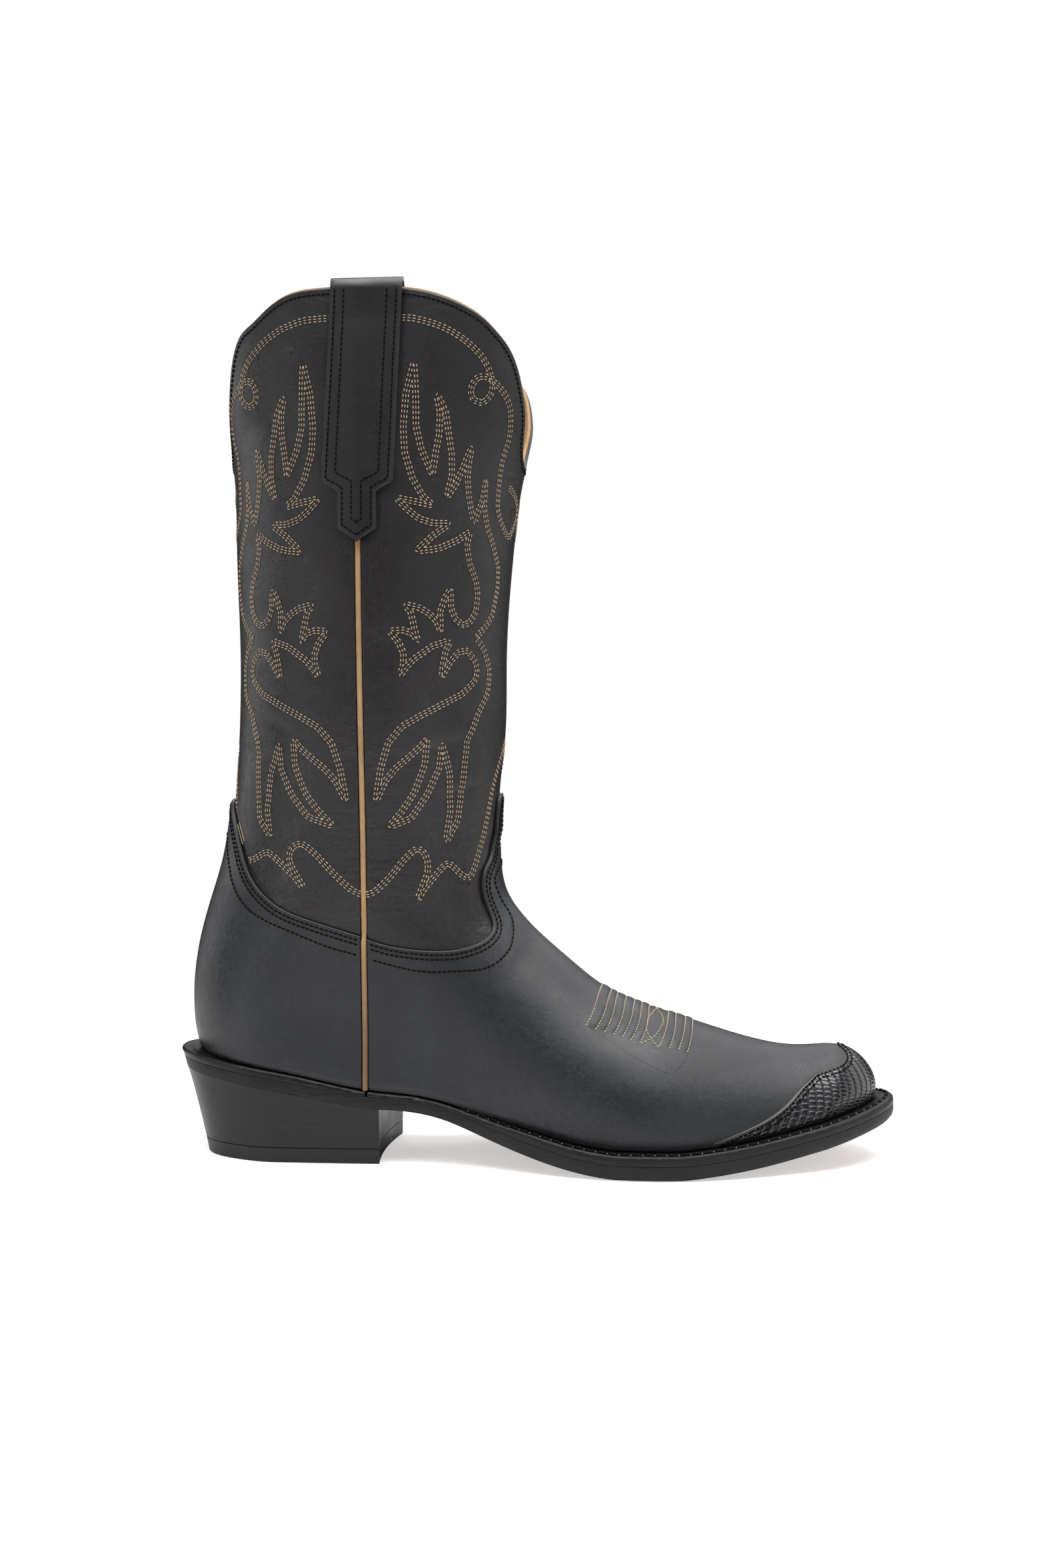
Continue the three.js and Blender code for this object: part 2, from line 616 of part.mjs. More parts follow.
const CAP_COLUMNS = FRONT_COLUMNS.filter((r) => Math.abs(r) <= 0.5);
const makeToeCap = () =>
  panel({
    columns: CAP_COLUMNS,
    low: always(0),
    high: (round) => capCurve(Math.abs(round)),
    inner: CAP_INNER,
    outer: CAP_INNER + CAP_LEATHER,
  });

// ---- Trim on the side seams ----
// A bar along a side seam; each station gives its level, half-width and inner and outer distances.
function seamBar(round, stations) {
  const seamRings = stations.map(({ level, half, inner, outer }) => {
    const side = roundShare(round, level, half);
    return [
      layerPoint(round - side, level, inner),
      layerPoint(round + side, level, inner),
      layerPoint(round + side, level, outer),
      layerPoint(round - side, level, outer),
    ];
  });
  return loft(seamRings);
}

function makePiping(round) {
  const collar = vampTop(1);
  const used = (level) => level > 3 && level < DRAWN_HEIGHT - 4 && Math.abs(level - collar) > 4;
  const levels = [0, ...ROWS.filter(used)];
  const heights = [...levels, collar - 1, collar + 1, DRAWN_HEIGHT].sort((a, b) => a - b);
  const stations = heights.map((level) => ({
    level,
    half: PIPING_WIDTH / 2,
    inner: SHAFT_INNER,
    outer: level < collar ? VAMP_OUTER + 0.9 : 1,
  }));
  return seamBar(round, stations);
}

// Half-width of the pull strap by distance down from the top line.
const strapHalf = (down, length) => {
  const shoulder = length - 24;
  const neck = mix(STRAP_WIDTH, STRAP_NECK_WIDTH, smooth(shoulder, shoulder + 6, down)) / 2;
  return down > length - 6 ? mix(neck, 0.8, (down - length + 6) / 6) : neck;
};

function makePullStrap(round) {
  const outerDowns = [0, 8, 26, 50, 79, 82, 85, 97, 103].map((d) => (d * STRAP_LENGTH) / 103);
  const innerDowns = [0, 8, 26, STRAP_INNER_LENGTH - 8, STRAP_INNER_LENGTH];
  const arch = [22.5, 45, 67.5, 90, 112.5, 135, 157.5].map((degrees) => (degrees * Math.PI) / 180);
  const across = [-1, -0.5, 0, 0.5, 1];
  const centre = (STRAP_INNER + STRAP_LINING_SIDE) / 2;
  const radius = (STRAP_INNER - STRAP_LINING_SIDE) / 2;
  const archFoot = DRAWN_HEIGHT + 1;
  const rows = [
    ...outerDowns.slice().reverse().map((d) => ({
      lean: STRAP_LEAN * Math.max(0, 1 - d / (STRAP_LENGTH - 18)),
      level: DRAWN_HEIGHT - d,
      half: strapHalf(d, STRAP_LENGTH),
      near: STRAP_INNER,
      far: STRAP_OUTER,
    })),
    ...arch.map((angle) => ({
      level: archFoot + Math.sin(angle) * (STRAP_RISE - STRAP_LEATHER),
      levelFar: archFoot + Math.sin(angle) * STRAP_RISE,
      half: STRAP_WIDTH / 2,
      near: centre + Math.cos(angle) * radius,
      far: centre + Math.cos(angle) * (radius + STRAP_LEATHER),
    })),
    ...innerDowns.map((d) => ({
      level: DRAWN_HEIGHT - d,
      half: STRAP_WIDTH / 2,
      near: STRAP_LINING_SIDE,
      far: STRAP_LINING_SIDE - STRAP_LEATHER,
    })),
  ];
  const face = (key, levelKey) =>
    across.map((side) =>
      rows.map((row) => {
        const level = row[levelKey] ?? row.level;
        const towardsFront = -Math.sign(round) * (row.lean ?? STRAP_LEAN);
        const reach = roundShare(round, Math.min(level, DRAWN_HEIGHT), row.half * side + towardsFront);
        return layerPoint(round + reach, level, row[key]);
      }),
    );
  return between(face("far", "levelFar"), face("near", "level"));
}

// ---- Sole and heel ----
const WELT_REACH_IN = 17; // welt's width in from the sole's edge
const LAST_EDGE = LINING_INNER - 2 * GAP; // the insole's edge, in from the upper
const TOE_INSET = 2; // the insole draws in where the upper leans over the toe
const insolePoint = (round) =>
  edgePoint(round, LAST_EDGE - TOE_INSET * smooth(along(195), along(240), surface(round, 0).x));
const insoleZ = (x) => featherZ(x);
const inPoint = (distance) => (round) => solePoint(round, distance);

const makeOutsole = () =>
  cut(
    plate({ pointAt: solePoint, fromX: null, toX: null, under: soleBottom, over: soleTop }),
    outsoleHoles(),
  );

function makeWelt() {
  return edgeStrip({
    rounds: bothSides(SOLE_HALF).filter((r) => Math.abs(r) <= WELT_START),
    outerAt: inPoint(0),
    innerAt: inPoint(WELT_REACH_IN),
    under: (x) => soleTop(x) + GAP,
    over: (x) => soleTop(x) + GAP + weltThickness(x),
  });
}

function makeRand() {
  const proud = (round) => RAND_PROUD * (1 - smooth(along(8), along(50), surface(round, 0).x));
  return edgeStrip({
    rounds: BACK_COLUMNS,
    outerAt: (round) => solePoint(round, -proud(round)),
    innerAt: inPoint(WELT_REACH_IN),
    under: (x) => soleTop(x) + GAP,
    over: (x) => soleTop(x) + GAP + randThickness(x),
  });
}

const makeCork = () =>
  plate({
    pointAt: inPoint(WELT_REACH_IN + GAP),
    fromX: along(152),
    toX: null,
    under: (x) => soleTop(x) + GAP,
    over: (x) => soleTop(x) + GAP + weltThickness(x),
  });

const makeInsole = () =>
  plate({
    pointAt: insolePoint,
    fromX: null,
    toX: null,
    under: insoleZ,
    over: (x) => insoleZ(x) + INSOLE_THICKNESS,
    corners: UPPER_ROUNDS,
  });

const sockUnder = (x) => insoleZ(x) + INSOLE_THICKNESS + GAP;
const makeSockLining = () =>
  plate({
    pointAt: insolePoint,
    fromX: null,
    toX: along(150),
    under: sockUnder,
    over: (x) => sockUnder(x) + SOCK_THICKNESS,
    corners: UPPER_ROUNDS,
  });

function makeShank() {
  const rings = [];
  for (let x = along(40); x <= along(150); x += along(11)) {
    const z = soleTop(x) + GAP;
    const half = SHANK_WIDTH / 2;
    const y = inflare(x);
    rings.push([
      new THREE.Vector3(x, y - half, z),
      new THREE.Vector3(x, y + half, z),
      new THREE.Vector3(x, y + half, z + SHANK_THICKNESS),
      new THREE.Vector3(x, y - half, z + SHANK_THICKNESS),
    ]);
  }
  return loft(rings);
}

// The seat filler lies over the shank, inside the rand.
const makeSeatFiller = () =>
  plate({
    pointAt: inPoint(WELT_REACH_IN + 2),
    fromX: along(22),
    toX: along(60),
    under: (x) => soleTop(x) + 2 * GAP + SHANK_THICKNESS,
    over: (x) => featherZ(x) - GAP,
  });

// Heel: each lift is a slice between two surfaces that share out the height under the sole.
const heelRoof = (x) => soleBottom(x) - GAP;
const lowestLift = TOP_LIFT_THICKNESS + GAP;
const liftFloor = (index) => (x) =>
  lowestLift + ((heelRoof(x) - lowestLift + GAP) * index) / LIFT_COUNT;
const liftRoof = (index) => (x) => liftFloor(index + 1)(x) - GAP;

const heelBack = solePoint(2)[0];
const heelRake = breastX - HEEL_BASE_LENGTH - heelBack; // how far the heel's back leans in to its base
const HEEL_TAPER = 0.05; // share of its width that the heel loses from seat to base

function heelPoint(round, height) {
  const [x, y] = solePoint(round);
  const drop = clamp(1 - height / soleBottom(x), 0, 1) ** 0.85;
  const backShare = (breastX - x) / (breastX - heelBack);
  return [x + heelRake * drop * backShare, y * (1 - HEEL_TAPER * drop)];
}

function heelSlice(floor, roof) {
  const front = roundAtX(breastX, solePoint);
  const rounds = [front, ...BACK_ROUNDS.filter((r) => r > front + 0.01)];
  const place = (round, level) => {
    const [x, y] = heelPoint(round, level(solePoint(round)[0]));
    return new THREE.Vector3(x, y, level(x));
  };
  return loft(rounds.map((r) => [place(-r, floor), place(r, floor), place(r, roof), place(-r, roof)]));
}

const NAIL_PLACES = [
  [30, 0], [42, -16], [42, 16], [66, -19], [66, 19],
];
const PEG_STATIONS = [104, 114, 124, 134]; // along the waist, a peg on each side
const PEG_INSET = 11; // in from the sole's edge

const cylinder = (x, y, low, high, radius) =>
  solidFromBuffer(
    new THREE.CylinderGeometry(radius, radius, high - low, 10)
      .rotateX(Math.PI / 2)
      .translate(x, y, (low + high) / 2),
  );

function solidFromBuffer(geometry) {
  const bare = new THREE.BufferGeometry().setAttribute("position", geometry.attributes.position);
  bare.setIndex(geometry.index);
  return mergeVertices(bare, 1e-4);
}

const nailX = (place) => along(place[0]);
const nailHead = (x) => soleBottom(x) + OUTSOLE_HEEL - 0.4;
const nailTip = TOP_LIFT_THICKNESS + 3;
const makeNail = (place) =>
  cylinder(nailX(place), place[1], nailTip, nailHead(nailX(place)), NAIL_RADIUS);
const nailHole = (place) =>
  cylinder(nailX(place), place[1], nailTip - GAP, nailHead(nailX(place)) + 3, NAIL_RADIUS + GAP / 2);
const pegPlaces = [-1, 1].flatMap((side) =>
  PEG_STATIONS.map((x) => inPoint(PEG_INSET)(side * roundAtX(along(x), solePoint))),
);
const makePeg = ([x, y]) => cylinder(x, y, soleBottom(x) + 0.6, soleTop(x) - 2 * GAP, PEG_RADIUS);
const pegHole = ([x, y]) => cylinder(x, y, soleBottom(x) - 3, soleTop(x) + 3, PEG_RADIUS + GAP / 2);
const outsoleHoles = () => [...NAIL_PLACES.map(nailHole), ...pegPlaces.map(pegHole)];

const makeTopLift = () => heelSlice(() => 0, () => TOP_LIFT_THICKNESS);
const makeLift = (index) => cut(heelSlice(liftFloor(index), liftRoof(index)), NAIL_PLACES.map(nailHole));

// ---- Assembly ----
const BLACK_LEATHER = [0x17161a, 0.4];
const SHAFT_BLACK = [0x1f1b1b, 0.45];
const TAN = [0xc39a66, 0.6];
const root = new THREE.Group();
root.name = "cowboy_boot";
const originX = breastX - HEEL_BASE_LENGTH / 2;

function add(name, geometry, [color, roughness, metalness = 0]) {
  const material = new THREE.MeshStandardMaterial({ color, roughness, metalness });
  geometry.translate(-originX, 0, 0);
  const mesh = new THREE.Mesh(geometry, material);
  mesh.name = name;
  root.add(mesh);
}

add("shaft_front", makeShaftFront(), SHAFT_BLACK);
add("shaft_back", makeShaftBack(), SHAFT_BLACK);
add("shaft_lining_front", makeShaftLiningFront(), TAN);
add("shaft_lining_back", makeShaftLiningBack(), TAN);
add("top_edging_front", makeEdgingFront(), TAN);
add("top_edging_back", makeEdgingBack(), TAN);
add("vamp", makeVamp(), BLACK_LEATHER);
add("vamp_lining", makeVampLining(), TAN);
add("vamp_interlining", makeInterlining(), [0xe4ddcc, 0.9]);
add("toe_box", makeToeBox(), [0xcdbb95, 0.7]);
add("toe_cap", makeToeCap(), [0x101114, 0.25]);
add("counter", makeCounter(), BLACK_LEATHER);
add("counter_lining", makeCounterLining(), TAN);
add("heel_stiffener", makeHeelStiffener(), [0xb9a07a, 0.7]);
add("side_piping_outer", makePiping(-1), TAN);
add("side_piping_inner", makePiping(1), TAN);
add("pull_strap_outer", makePullStrap(-1), SHAFT_BLACK);
add("pull_strap_inner", makePullStrap(1), SHAFT_BLACK);
add("insole", makeInsole(), [0xb58a5c, 0.7]);
add("sock_lining", makeSockLining(), TAN);
add("cork_filler", makeCork(), [0x9b7a4f, 0.9]);
add("seat_filler", makeSeatFiller(), [0x9b7a4f, 0.9]);
add("shank", makeShank(), [0x8d9096, 0.35, 1]);
add("welt", makeWelt(), [0x1b1a1b, 0.5]);
add("heel_rand", makeRand(), [0x1b1a1b, 0.5]);
add("outsole", makeOutsole(), [0x8a6238, 0.6]);
add("heel_top_lift", makeTopLift(), [0x161616, 0.8]);
for (let index = 0; index < LIFT_COUNT; index++) {
  add(`heel_lift_${index + 1}`, makeLift(index), [0x1a1818, 0.5]);
}
NAIL_PLACES.forEach((place, index) => {
  add(`heel_nail_${index + 1}`, makeNail(place), [0xb08d4a, 0.35, 1]);
});
pegPlaces.forEach((place, index) => {
  add(`waist_peg_${index + 1}`, makePeg(place), [0xd9c08a, 0.7]);
});

export default root;
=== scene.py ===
"""The looks of a right-foot cowboy boot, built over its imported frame.

Lengths of the drawn last are in millimetres; the meshes are in metres, in the frame of the part.
A place on the upper is (round, level): round is 0 at the front centre, +1 at the inner side seam,
-1 at the outer one and 2 at the back centre; level is a ring round the boot, 0 at the sole.
"""
import math

import bpy
import numpy as np
from mathutils import Matrix, Vector


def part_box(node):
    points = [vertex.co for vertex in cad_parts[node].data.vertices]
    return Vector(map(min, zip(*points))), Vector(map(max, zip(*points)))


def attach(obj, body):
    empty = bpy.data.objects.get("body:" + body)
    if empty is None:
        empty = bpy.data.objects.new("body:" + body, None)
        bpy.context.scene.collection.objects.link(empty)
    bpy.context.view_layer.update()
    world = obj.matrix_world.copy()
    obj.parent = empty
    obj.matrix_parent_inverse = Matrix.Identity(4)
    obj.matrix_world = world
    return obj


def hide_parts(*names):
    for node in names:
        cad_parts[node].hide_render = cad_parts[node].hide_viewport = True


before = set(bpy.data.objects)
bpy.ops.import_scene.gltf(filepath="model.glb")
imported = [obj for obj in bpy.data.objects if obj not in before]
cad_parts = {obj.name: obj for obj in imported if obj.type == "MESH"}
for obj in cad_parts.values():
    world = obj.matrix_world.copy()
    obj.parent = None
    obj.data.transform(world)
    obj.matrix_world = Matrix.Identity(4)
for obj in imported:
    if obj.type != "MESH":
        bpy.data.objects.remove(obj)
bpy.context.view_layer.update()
scene = bpy.context.scene

# ---- Layers of the upper: distances out from the shaft leather's outer face ----
SHAFT_IN, SHAFT_OUT = -1.4, 0.0
LINING_IN, LINING_OUT = -2.9, -1.7
VAMP_IN, VAMP_OUT = 0.3, 1.7
CAP_IN, CAP_OUT = 1.5, 2.35
STRAP_LEATHER = 1.9
STRAP_INSIDE = -3.5
PIPING_HALF = 1.12
PANEL_MARGIN = 1.3  # from a side seam to the panel beside it
GAP = 0.3
TOP_LEVEL = 362
SCALLOP = 64
DRAWN_BACK = 2.26  # the sole's rearmost point on the last
COLLAR_LEVEL = 94
SEAM_X = 86.5
BREAST_X = 93
HEEL_BASE_LENGTH = 80.6
TOP_LIFT = 6
LIFTS = 4
MM_ROUND = 85  # about how long one unit of round is
SHARP_ANGLE = 55  # edges turned by more than this look sharp

# ---- The last's outlines: [level, distance from the heel's back] and [level, height] ----
BACK_LINE = [
    (0, 10.7), (20, 8), (40, 6.9), (60, 7.6), (80, 10.6), (100, 15.6), (120, 20), (140, 22.4),
    (160, 24.5), (180, 25.8), (210, 26.5), (260, 25.3), (288, 24.3), (303, 22.2), (318, 18.2),
    (335, 15.6), (370, 13.5),
]
BACK_HEIGHT = [
    (20, 53), (40, 65), (60, 78), (80, 94), (100, 111), (120, 127), (140, 143), (160, 161),
    (180, 180), (370, 370),
]
FRONT_LINE = [
    (0, 299.8), (8, 299.6), (16, 295.5), (26, 285.5), (38, 267), (50, 244), (64, 216), (78, 188),
    (90, 170), (102, 153.5), (112, 143.5), (122, 139.6), (140, 139.2), (160, 140.3), (180, 142.1),
    (210, 143), (260, 146), (285, 148.6), (300, 152), (315, 157.5), (335, 162.5), (370, 166),
]
FRONT_HEIGHT = [
    (8, 32), (16, 39.2), (26, 44.8), (38, 44.6), (50, 49), (64, 58), (78, 68.4), (90, 81.5),
    (102, 96.2), (112, 108.5), (122, 120), (140, 141), (160, 161), (180, 180), (370, 370),
]
SOLE_LINE = [
    (0, 37.4), (50, 29.7), (93, 22.9), (104, 21.9), (118, 19.4), (135, 13.6), (159, 5.8), (180, 1.2),
    (196, -0.3), (214, -0.3), (230, 1), (250, 3.6), (270, 7.4), (290, 11.8), (310, 17),
]
OUTER_WIDTH = [
    (0, 31), (40, 31.5), (75, 31.5), (100, 31), (125, 32.5), (150, 37.5), (175, 43.5), (200, 47.5),
    (222, 46.5), (245, 41), (270, 33.5), (290, 28), (310, 26),
]
INNER_WIDTH = [
    (0, 31), (40, 31.5), (75, 30.5), (100, 28.5), (125, 29.5), (150, 34.5), (175, 41), (200, 45.5),
    (222, 45.5), (245, 41), (270, 34), (290, 28.5), (310, 26),
]
LEG_WIDTH = [
    (60, 36), (115, 37), (140, 38.5), (165, 41.5), (190, 44.7), (215, 47.2), (245, 49.3),
    (275, 50.6), (310, 51.5), (370, 52.4),
]
FOOT_ROUNDING = [(0, 34), (60, 36), (120, 44), (170, 46), (215, 43), (260, 38), (310, 42)]
LEG_ROUNDING = 58
TOE_INFLARE = 7
SOLE_EDGE = [
    (0, 8.8), (10, 8.4), (22, 4.6), (36, 3.3), (60, 3), (93, 3), (115, 2.8), (135, 4.4),
    (160, 7.2), (190, 8.8), (240, 9.2), (310, 10),
]
VAMP_TOP = [
    (0, 154), (0.05, 153), (0.09, 149.5), (0.12, 143), (0.15, 135.5), (0.22, 127.5), (0.29, 123),
    (0.335, 116.5), (0.36, 110.5), (0.4, 104.5), (0.451, 101), (0.519, 98), (0.593, 95.6),
    (0.68, 93.5), (0.77, 92.4), (0.85, 92.2), (0.93, 92.6), (1, 94),
]
COUNTER_TOP = [
    (1, 94), (1.14, 96.2), (1.23, 97.9), (1.33, 100.5), (1.42, 104.8), (1.53, 113), (1.61, 122.5),
    (1.69, 134), (1.78, 143.5), (1.88, 149), (2, 151),
]
CAP_TOP = [
    (0, 27), (0.07, 25.2), (0.1, 22.6), (0.14, 20), (0.18, 18.6), (0.24, 17.9), (0.27, 17.3),
    (0.29, 16), (0.315, 14.3), (0.34, 11.9), (0.36, 9.9), (0.39, 7.4), (0.42, 5.6), (0.45, 4.1),
    (0.5, 1.6),
]
FRONT_SCALLOP = [
    (0, 1), (0.09, 0.98), (0.17, 0.87), (0.225, 0.735), (0.285, 0.6), (0.34, 0.47), (0.41, 0.335),
    (0.47, 0.257), (0.53, 0.187), (0.61, 0.12), (0.69, 0.07), (0.8, 0.025), (1, 0),
]
BACK_SCALLOP = [
    (0, 1), (0.12, 0.97), (0.22, 0.87), (0.31, 0.72), (0.362, 0.586), (0.396, 0.46),
    (0.431, 0.345), (0.478, 0.25), (0.554, 0.185), (0.647, 0.1), (0.74, 0.035), (0.85, 0.01), (1, 0),
]


# ---- Small tools ----
def spline(pairs):
    """Natural cubic spline through (position, value) pairs, straight beyond its ends."""
    x, y = np.array(pairs, float).T
    n = len(x)
    h = np.diff(x)
    system = np.eye(n)
    right = np.zeros(n)
    inner = np.arange(1, n - 1)
    system[inner, inner - 1] = h[:-1]
    system[inner, inner] = 2 * (h[:-1] + h[1:])
    system[inner, inner + 1] = h[1:]
    right[inner] = 6 * np.diff(np.diff(y) / h)
    m = np.linalg.solve(system, right)
    slope_0 = (y[1] - y[0]) / h[0] - h[0] * (2 * m[0] + m[1]) / 6
    slope_1 = (y[-1] - y[-2]) / h[-1] + h[-1] * (m[-2] + 2 * m[-1]) / 6

    def value(q):
        q = np.asarray(q, float)
        i = np.clip(np.searchsorted(x, q, side="right") - 1, 0, n - 2)
        held = np.clip(q, x[0], x[-1])
        a = (x[i + 1] - held) / h[i]
        b = 1 - a
        bow = ((a**3 - a) * m[i] + (b**3 - b) * m[i + 1]) * h[i] ** 2 / 6
        beyond = np.minimum(q - x[0], 0) * slope_0 + np.maximum(q - x[-1], 0) * slope_1
        return a * y[i] + b * y[i + 1] + bow + beyond

    return value


def smooth(start, end, value):
    """0 before start, 1 after end, and a smooth step between them."""
    s = np.clip((value - start) / (end - start), 0, 1)
    return s * s * (3 - 2 * s)


def mix(a, b, share):
    """A straight blend from a to b by a share."""
    return a + (b - a) * share


def unit(v):
    """Vectors brought to length one."""
    return v / np.maximum(np.linalg.norm(v, axis=-1, keepdims=True), 1e-9)


# ---- The form of the last and leg ----
back_x, front_x = spline(BACK_LINE), spline(FRONT_LINE)
sole_line = spline(SOLE_LINE)
foot_width = {-1: spline(OUTER_WIDTH), 1: spline(INNER_WIDTH)}
leg_width, foot_rounding = spline(LEG_WIDTH), spline(FOOT_ROUNDING)


def seam_angle(level):
    """Angle round a ring at which the side seam lies."""
    back, front = back_x(level), front_x(level)
    return np.arccos(np.clip(2 * (SEAM_X - back) / (front - back) - 1, -1, 1))


def sole_bottom(x):
    """Height of the sole's underside: its drawn line, never under the floor."""
    return np.maximum(0, sole_line(x))


def sole_top(x):
    """Height of the sole's upper face: a little thicker under the forefoot."""
    return sole_bottom(x) + mix(4.6, 5.8, smooth(115, 165, x))


def rand_thickness(x):
    """The rand thins from the heel's back to the side seam."""
    return mix(3, 1.9, smooth(55, SEAM_X, x))


welt_start_x = mix(back_x(0), front_x(0), (1 + np.cos(0.9 * seam_angle(0))) / 2)


def welt_thickness(x):
    """The welt thickens from its start at the waist to the forefoot."""
    return mix(1.9, 3.8, smooth(welt_start_x, 165, x))


def feather(x):
    """Height of the upper's lower edge."""
    layer = np.where(x < SEAM_X, rand_thickness(x), welt_thickness(x))
    return sole_top(x) + layer + 2 * GAP


back_z = spline([(0, float(feather(back_x(0))))] + BACK_HEIGHT)
front_z = spline([(0, float(feather(front_x(0))))] + FRONT_HEIGHT)
OUTLINE_LEVELS = np.arange(0, 371, 1.0)
OUTLINES = [
    np.stack([line(OUTLINE_LEVELS), height(OUTLINE_LEVELS)], 1)
    for line, height in ((back_x, back_z), (front_x, front_z))
]


def from_outline(x, z):
    """Distance of each (x, z) to the nearer of the side view's back and front outlines."""
    best = np.full(x.size, 1e9)
    for line in OUTLINES:
        start, step = line[:-1], np.diff(line, axis=0)
        length2 = (step**2).sum(1)
        for first in range(0, x.size, 20000):
            part = slice(first, first + 20000)
            dx = x.ravel()[part, None] - start[:, 0]
            dz = z.ravel()[part, None] - start[:, 1]
            t = np.clip((dx * step[:, 0] + dz * step[:, 1]) / length2, 0, 1)
            away = np.hypot(dx - t * step[:, 0], dz - t * step[:, 1]).min(1)
            best[part] = np.minimum(best[part], away)
    return best.reshape(x.shape)


def inflare(x):
    """How far the middle line bends to the inner side, growing towards the toe."""
    return TOE_INFLARE * smooth(150, 320, x) ** 1.5


def ring_place(phi, level):
    """The form: a ring's x and z run from the back to the front outline as the cosine of the
    angle; its half-width is an ellipse arc in the distance from the outlines, between the foot's
    widths low down and the leg's higher up."""
    share = (1 + np.cos(phi)) / 2
    x = mix(back_x(level), front_x(level), share)
    edge_x = mix(back_x(0), front_x(0), share)
    sag = np.maximum(0, 1 - level / 120) ** 1.6
    lift = feather(edge_x) - mix(back_z(0), front_z(0), share)
    z = mix(back_z(level), front_z(level), share) + sag * lift
    leg = smooth(45, 125, z)
    foot = np.where(np.sin(phi) > 0, foot_width[1](x), foot_width[-1](x))
    full = mix(foot, leg_width(z), leg)
    rounding = mix(foot_rounding(x), LEG_ROUNDING, leg)
    s = np.minimum(1, from_outline(x, z) / rounding)
    y = inflare(x) + np.sign(np.sin(phi)) * full * np.sqrt(s * (2 - s))
    return np.stack([x, y, z], -1)


# The form is sampled once on an even grid, and read from it by cubic interpolation.
PHI_STEPS, LOWEST, LEVEL_STEP = 720, -3, 1.0
grid_phi = np.arange(PHI_STEPS) * 2 * np.pi / PHI_STEPS - np.pi
grid_level = np.arange(LOWEST, 373, LEVEL_STEP)
FORM = ring_place(*np.meshgrid(grid_phi, grid_level, indexing="ij"))
for centre_row in (0, PHI_STEPS // 2):
    FORM[centre_row, :, 1] = inflare(FORM[centre_row, :, 0])
round_slope = np.roll(FORM, -4, 0) - np.roll(FORM, 4, 0)
level_slope = np.gradient(FORM, axis=1)
level_slope[:, 2:-2] = (FORM[:, 4:] - FORM[:, :-4]) / 4
OUTWARD = unit(np.cross(round_slope, level_slope))


def angle_at(rnd, level):
    """Angle of a place: the front and back of the boot each divide their own stretch evenly."""
    rnd = (np.asarray(rnd, float) + 2) % 4 - 2
    seam = seam_angle(level)
    past = np.abs(rnd) - 1
    return np.where(past <= 0, rnd * seam, np.sign(rnd) * (seam + past * (np.pi - seam)))


def cubic(t):
    """Catmull-Rom weights of the four samples round a place."""
    return np.stack([
        -0.5 * t + t**2 - 0.5 * t**3,
        1 - 2.5 * t**2 + 1.5 * t**3,
        0.5 * t + 2 * t**2 - 1.5 * t**3,
        -0.5 * t**2 + 0.5 * t**3,
    ])


def surface(rnd, level):
    """The point on the form at (round, level), and the direction out of it."""
    rnd, level = np.broadcast_arrays(np.asarray(rnd, float), np.asarray(level, float))
    i = (angle_at(rnd, level) + np.pi) * PHI_STEPS / (2 * np.pi)
    j = np.clip((level - LOWEST) / LEVEL_STEP, 1, len(grid_level) - 3.001)
    i0, j0 = np.floor(i).astype(int), np.floor(j).astype(int)
    wi, wj = cubic(i - i0), cubic(j - j0)
    point = 0
    for a in range(4):
        row = (i0 + a - 1) % PHI_STEPS
        for b in range(4):
            point = point + (wi[a] * wj[b])[..., None] * FORM[row, j0 + b - 1]
    fi, fj = (i - i0)[..., None], (j - j0)[..., None]
    near, far = i0 % PHI_STEPS, (i0 + 1) % PHI_STEPS
    low = mix(OUTWARD[near, j0], OUTWARD[far, j0], fi)
    high = mix(OUTWARD[near, j0 + 1], OUTWARD[far, j0 + 1], fi)
    return point, unit(mix(low, high, fj))


def skin(rnd, level, offset):
    """The point a given distance out from the form."""
    point, out = surface(rnd, level)
    return point + out * np.asarray(offset, float)[..., None]


def mm_per_round(rnd, level):
    """How long one unit of round is at a place."""
    step = 0.01
    run = skin(rnd + step, level, 0.0) - skin(rnd - step, level, 0.0)
    return np.linalg.norm(run, axis=-1) / (2 * step)


front_scallop, back_scallop = spline(FRONT_SCALLOP), spline(BACK_SCALLOP)
vamp_curve, counter_curve, cap_curve = spline(VAMP_TOP), spline(COUNTER_TOP), spline(CAP_TOP)


def from_front(rnd):
    """How far round from the front centre a place lies, 0 to 2."""
    return np.abs((np.asarray(rnd, float) + 2) % 4 - 2)


def top_level(rnd):
    """The shaft's top line: a scallop at the front and another at the back, highest at the sides."""
    turned = from_front(rnd)
    drop = np.where(turned <= 1, front_scallop(turned), back_scallop(2 - turned))
    return TOP_LEVEL - SCALLOP * drop


def vamp_top(rnd):
    """The vamp's cut edge, the same on both sides."""
    return vamp_curve(from_front(rnd))


def counter_top(rnd):
    """The counter's cut edge, the same on both sides."""
    return counter_curve(from_front(rnd))


def cap_top(rnd):
    """The toe cap's cut edge, the same on both sides."""
    return cap_curve(from_front(rnd))


# The part's origin, measured from the heel's back on the last
ORIGIN = np.array([DRAWN_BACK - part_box("outsole")[0].x * 1000, 0, 0])

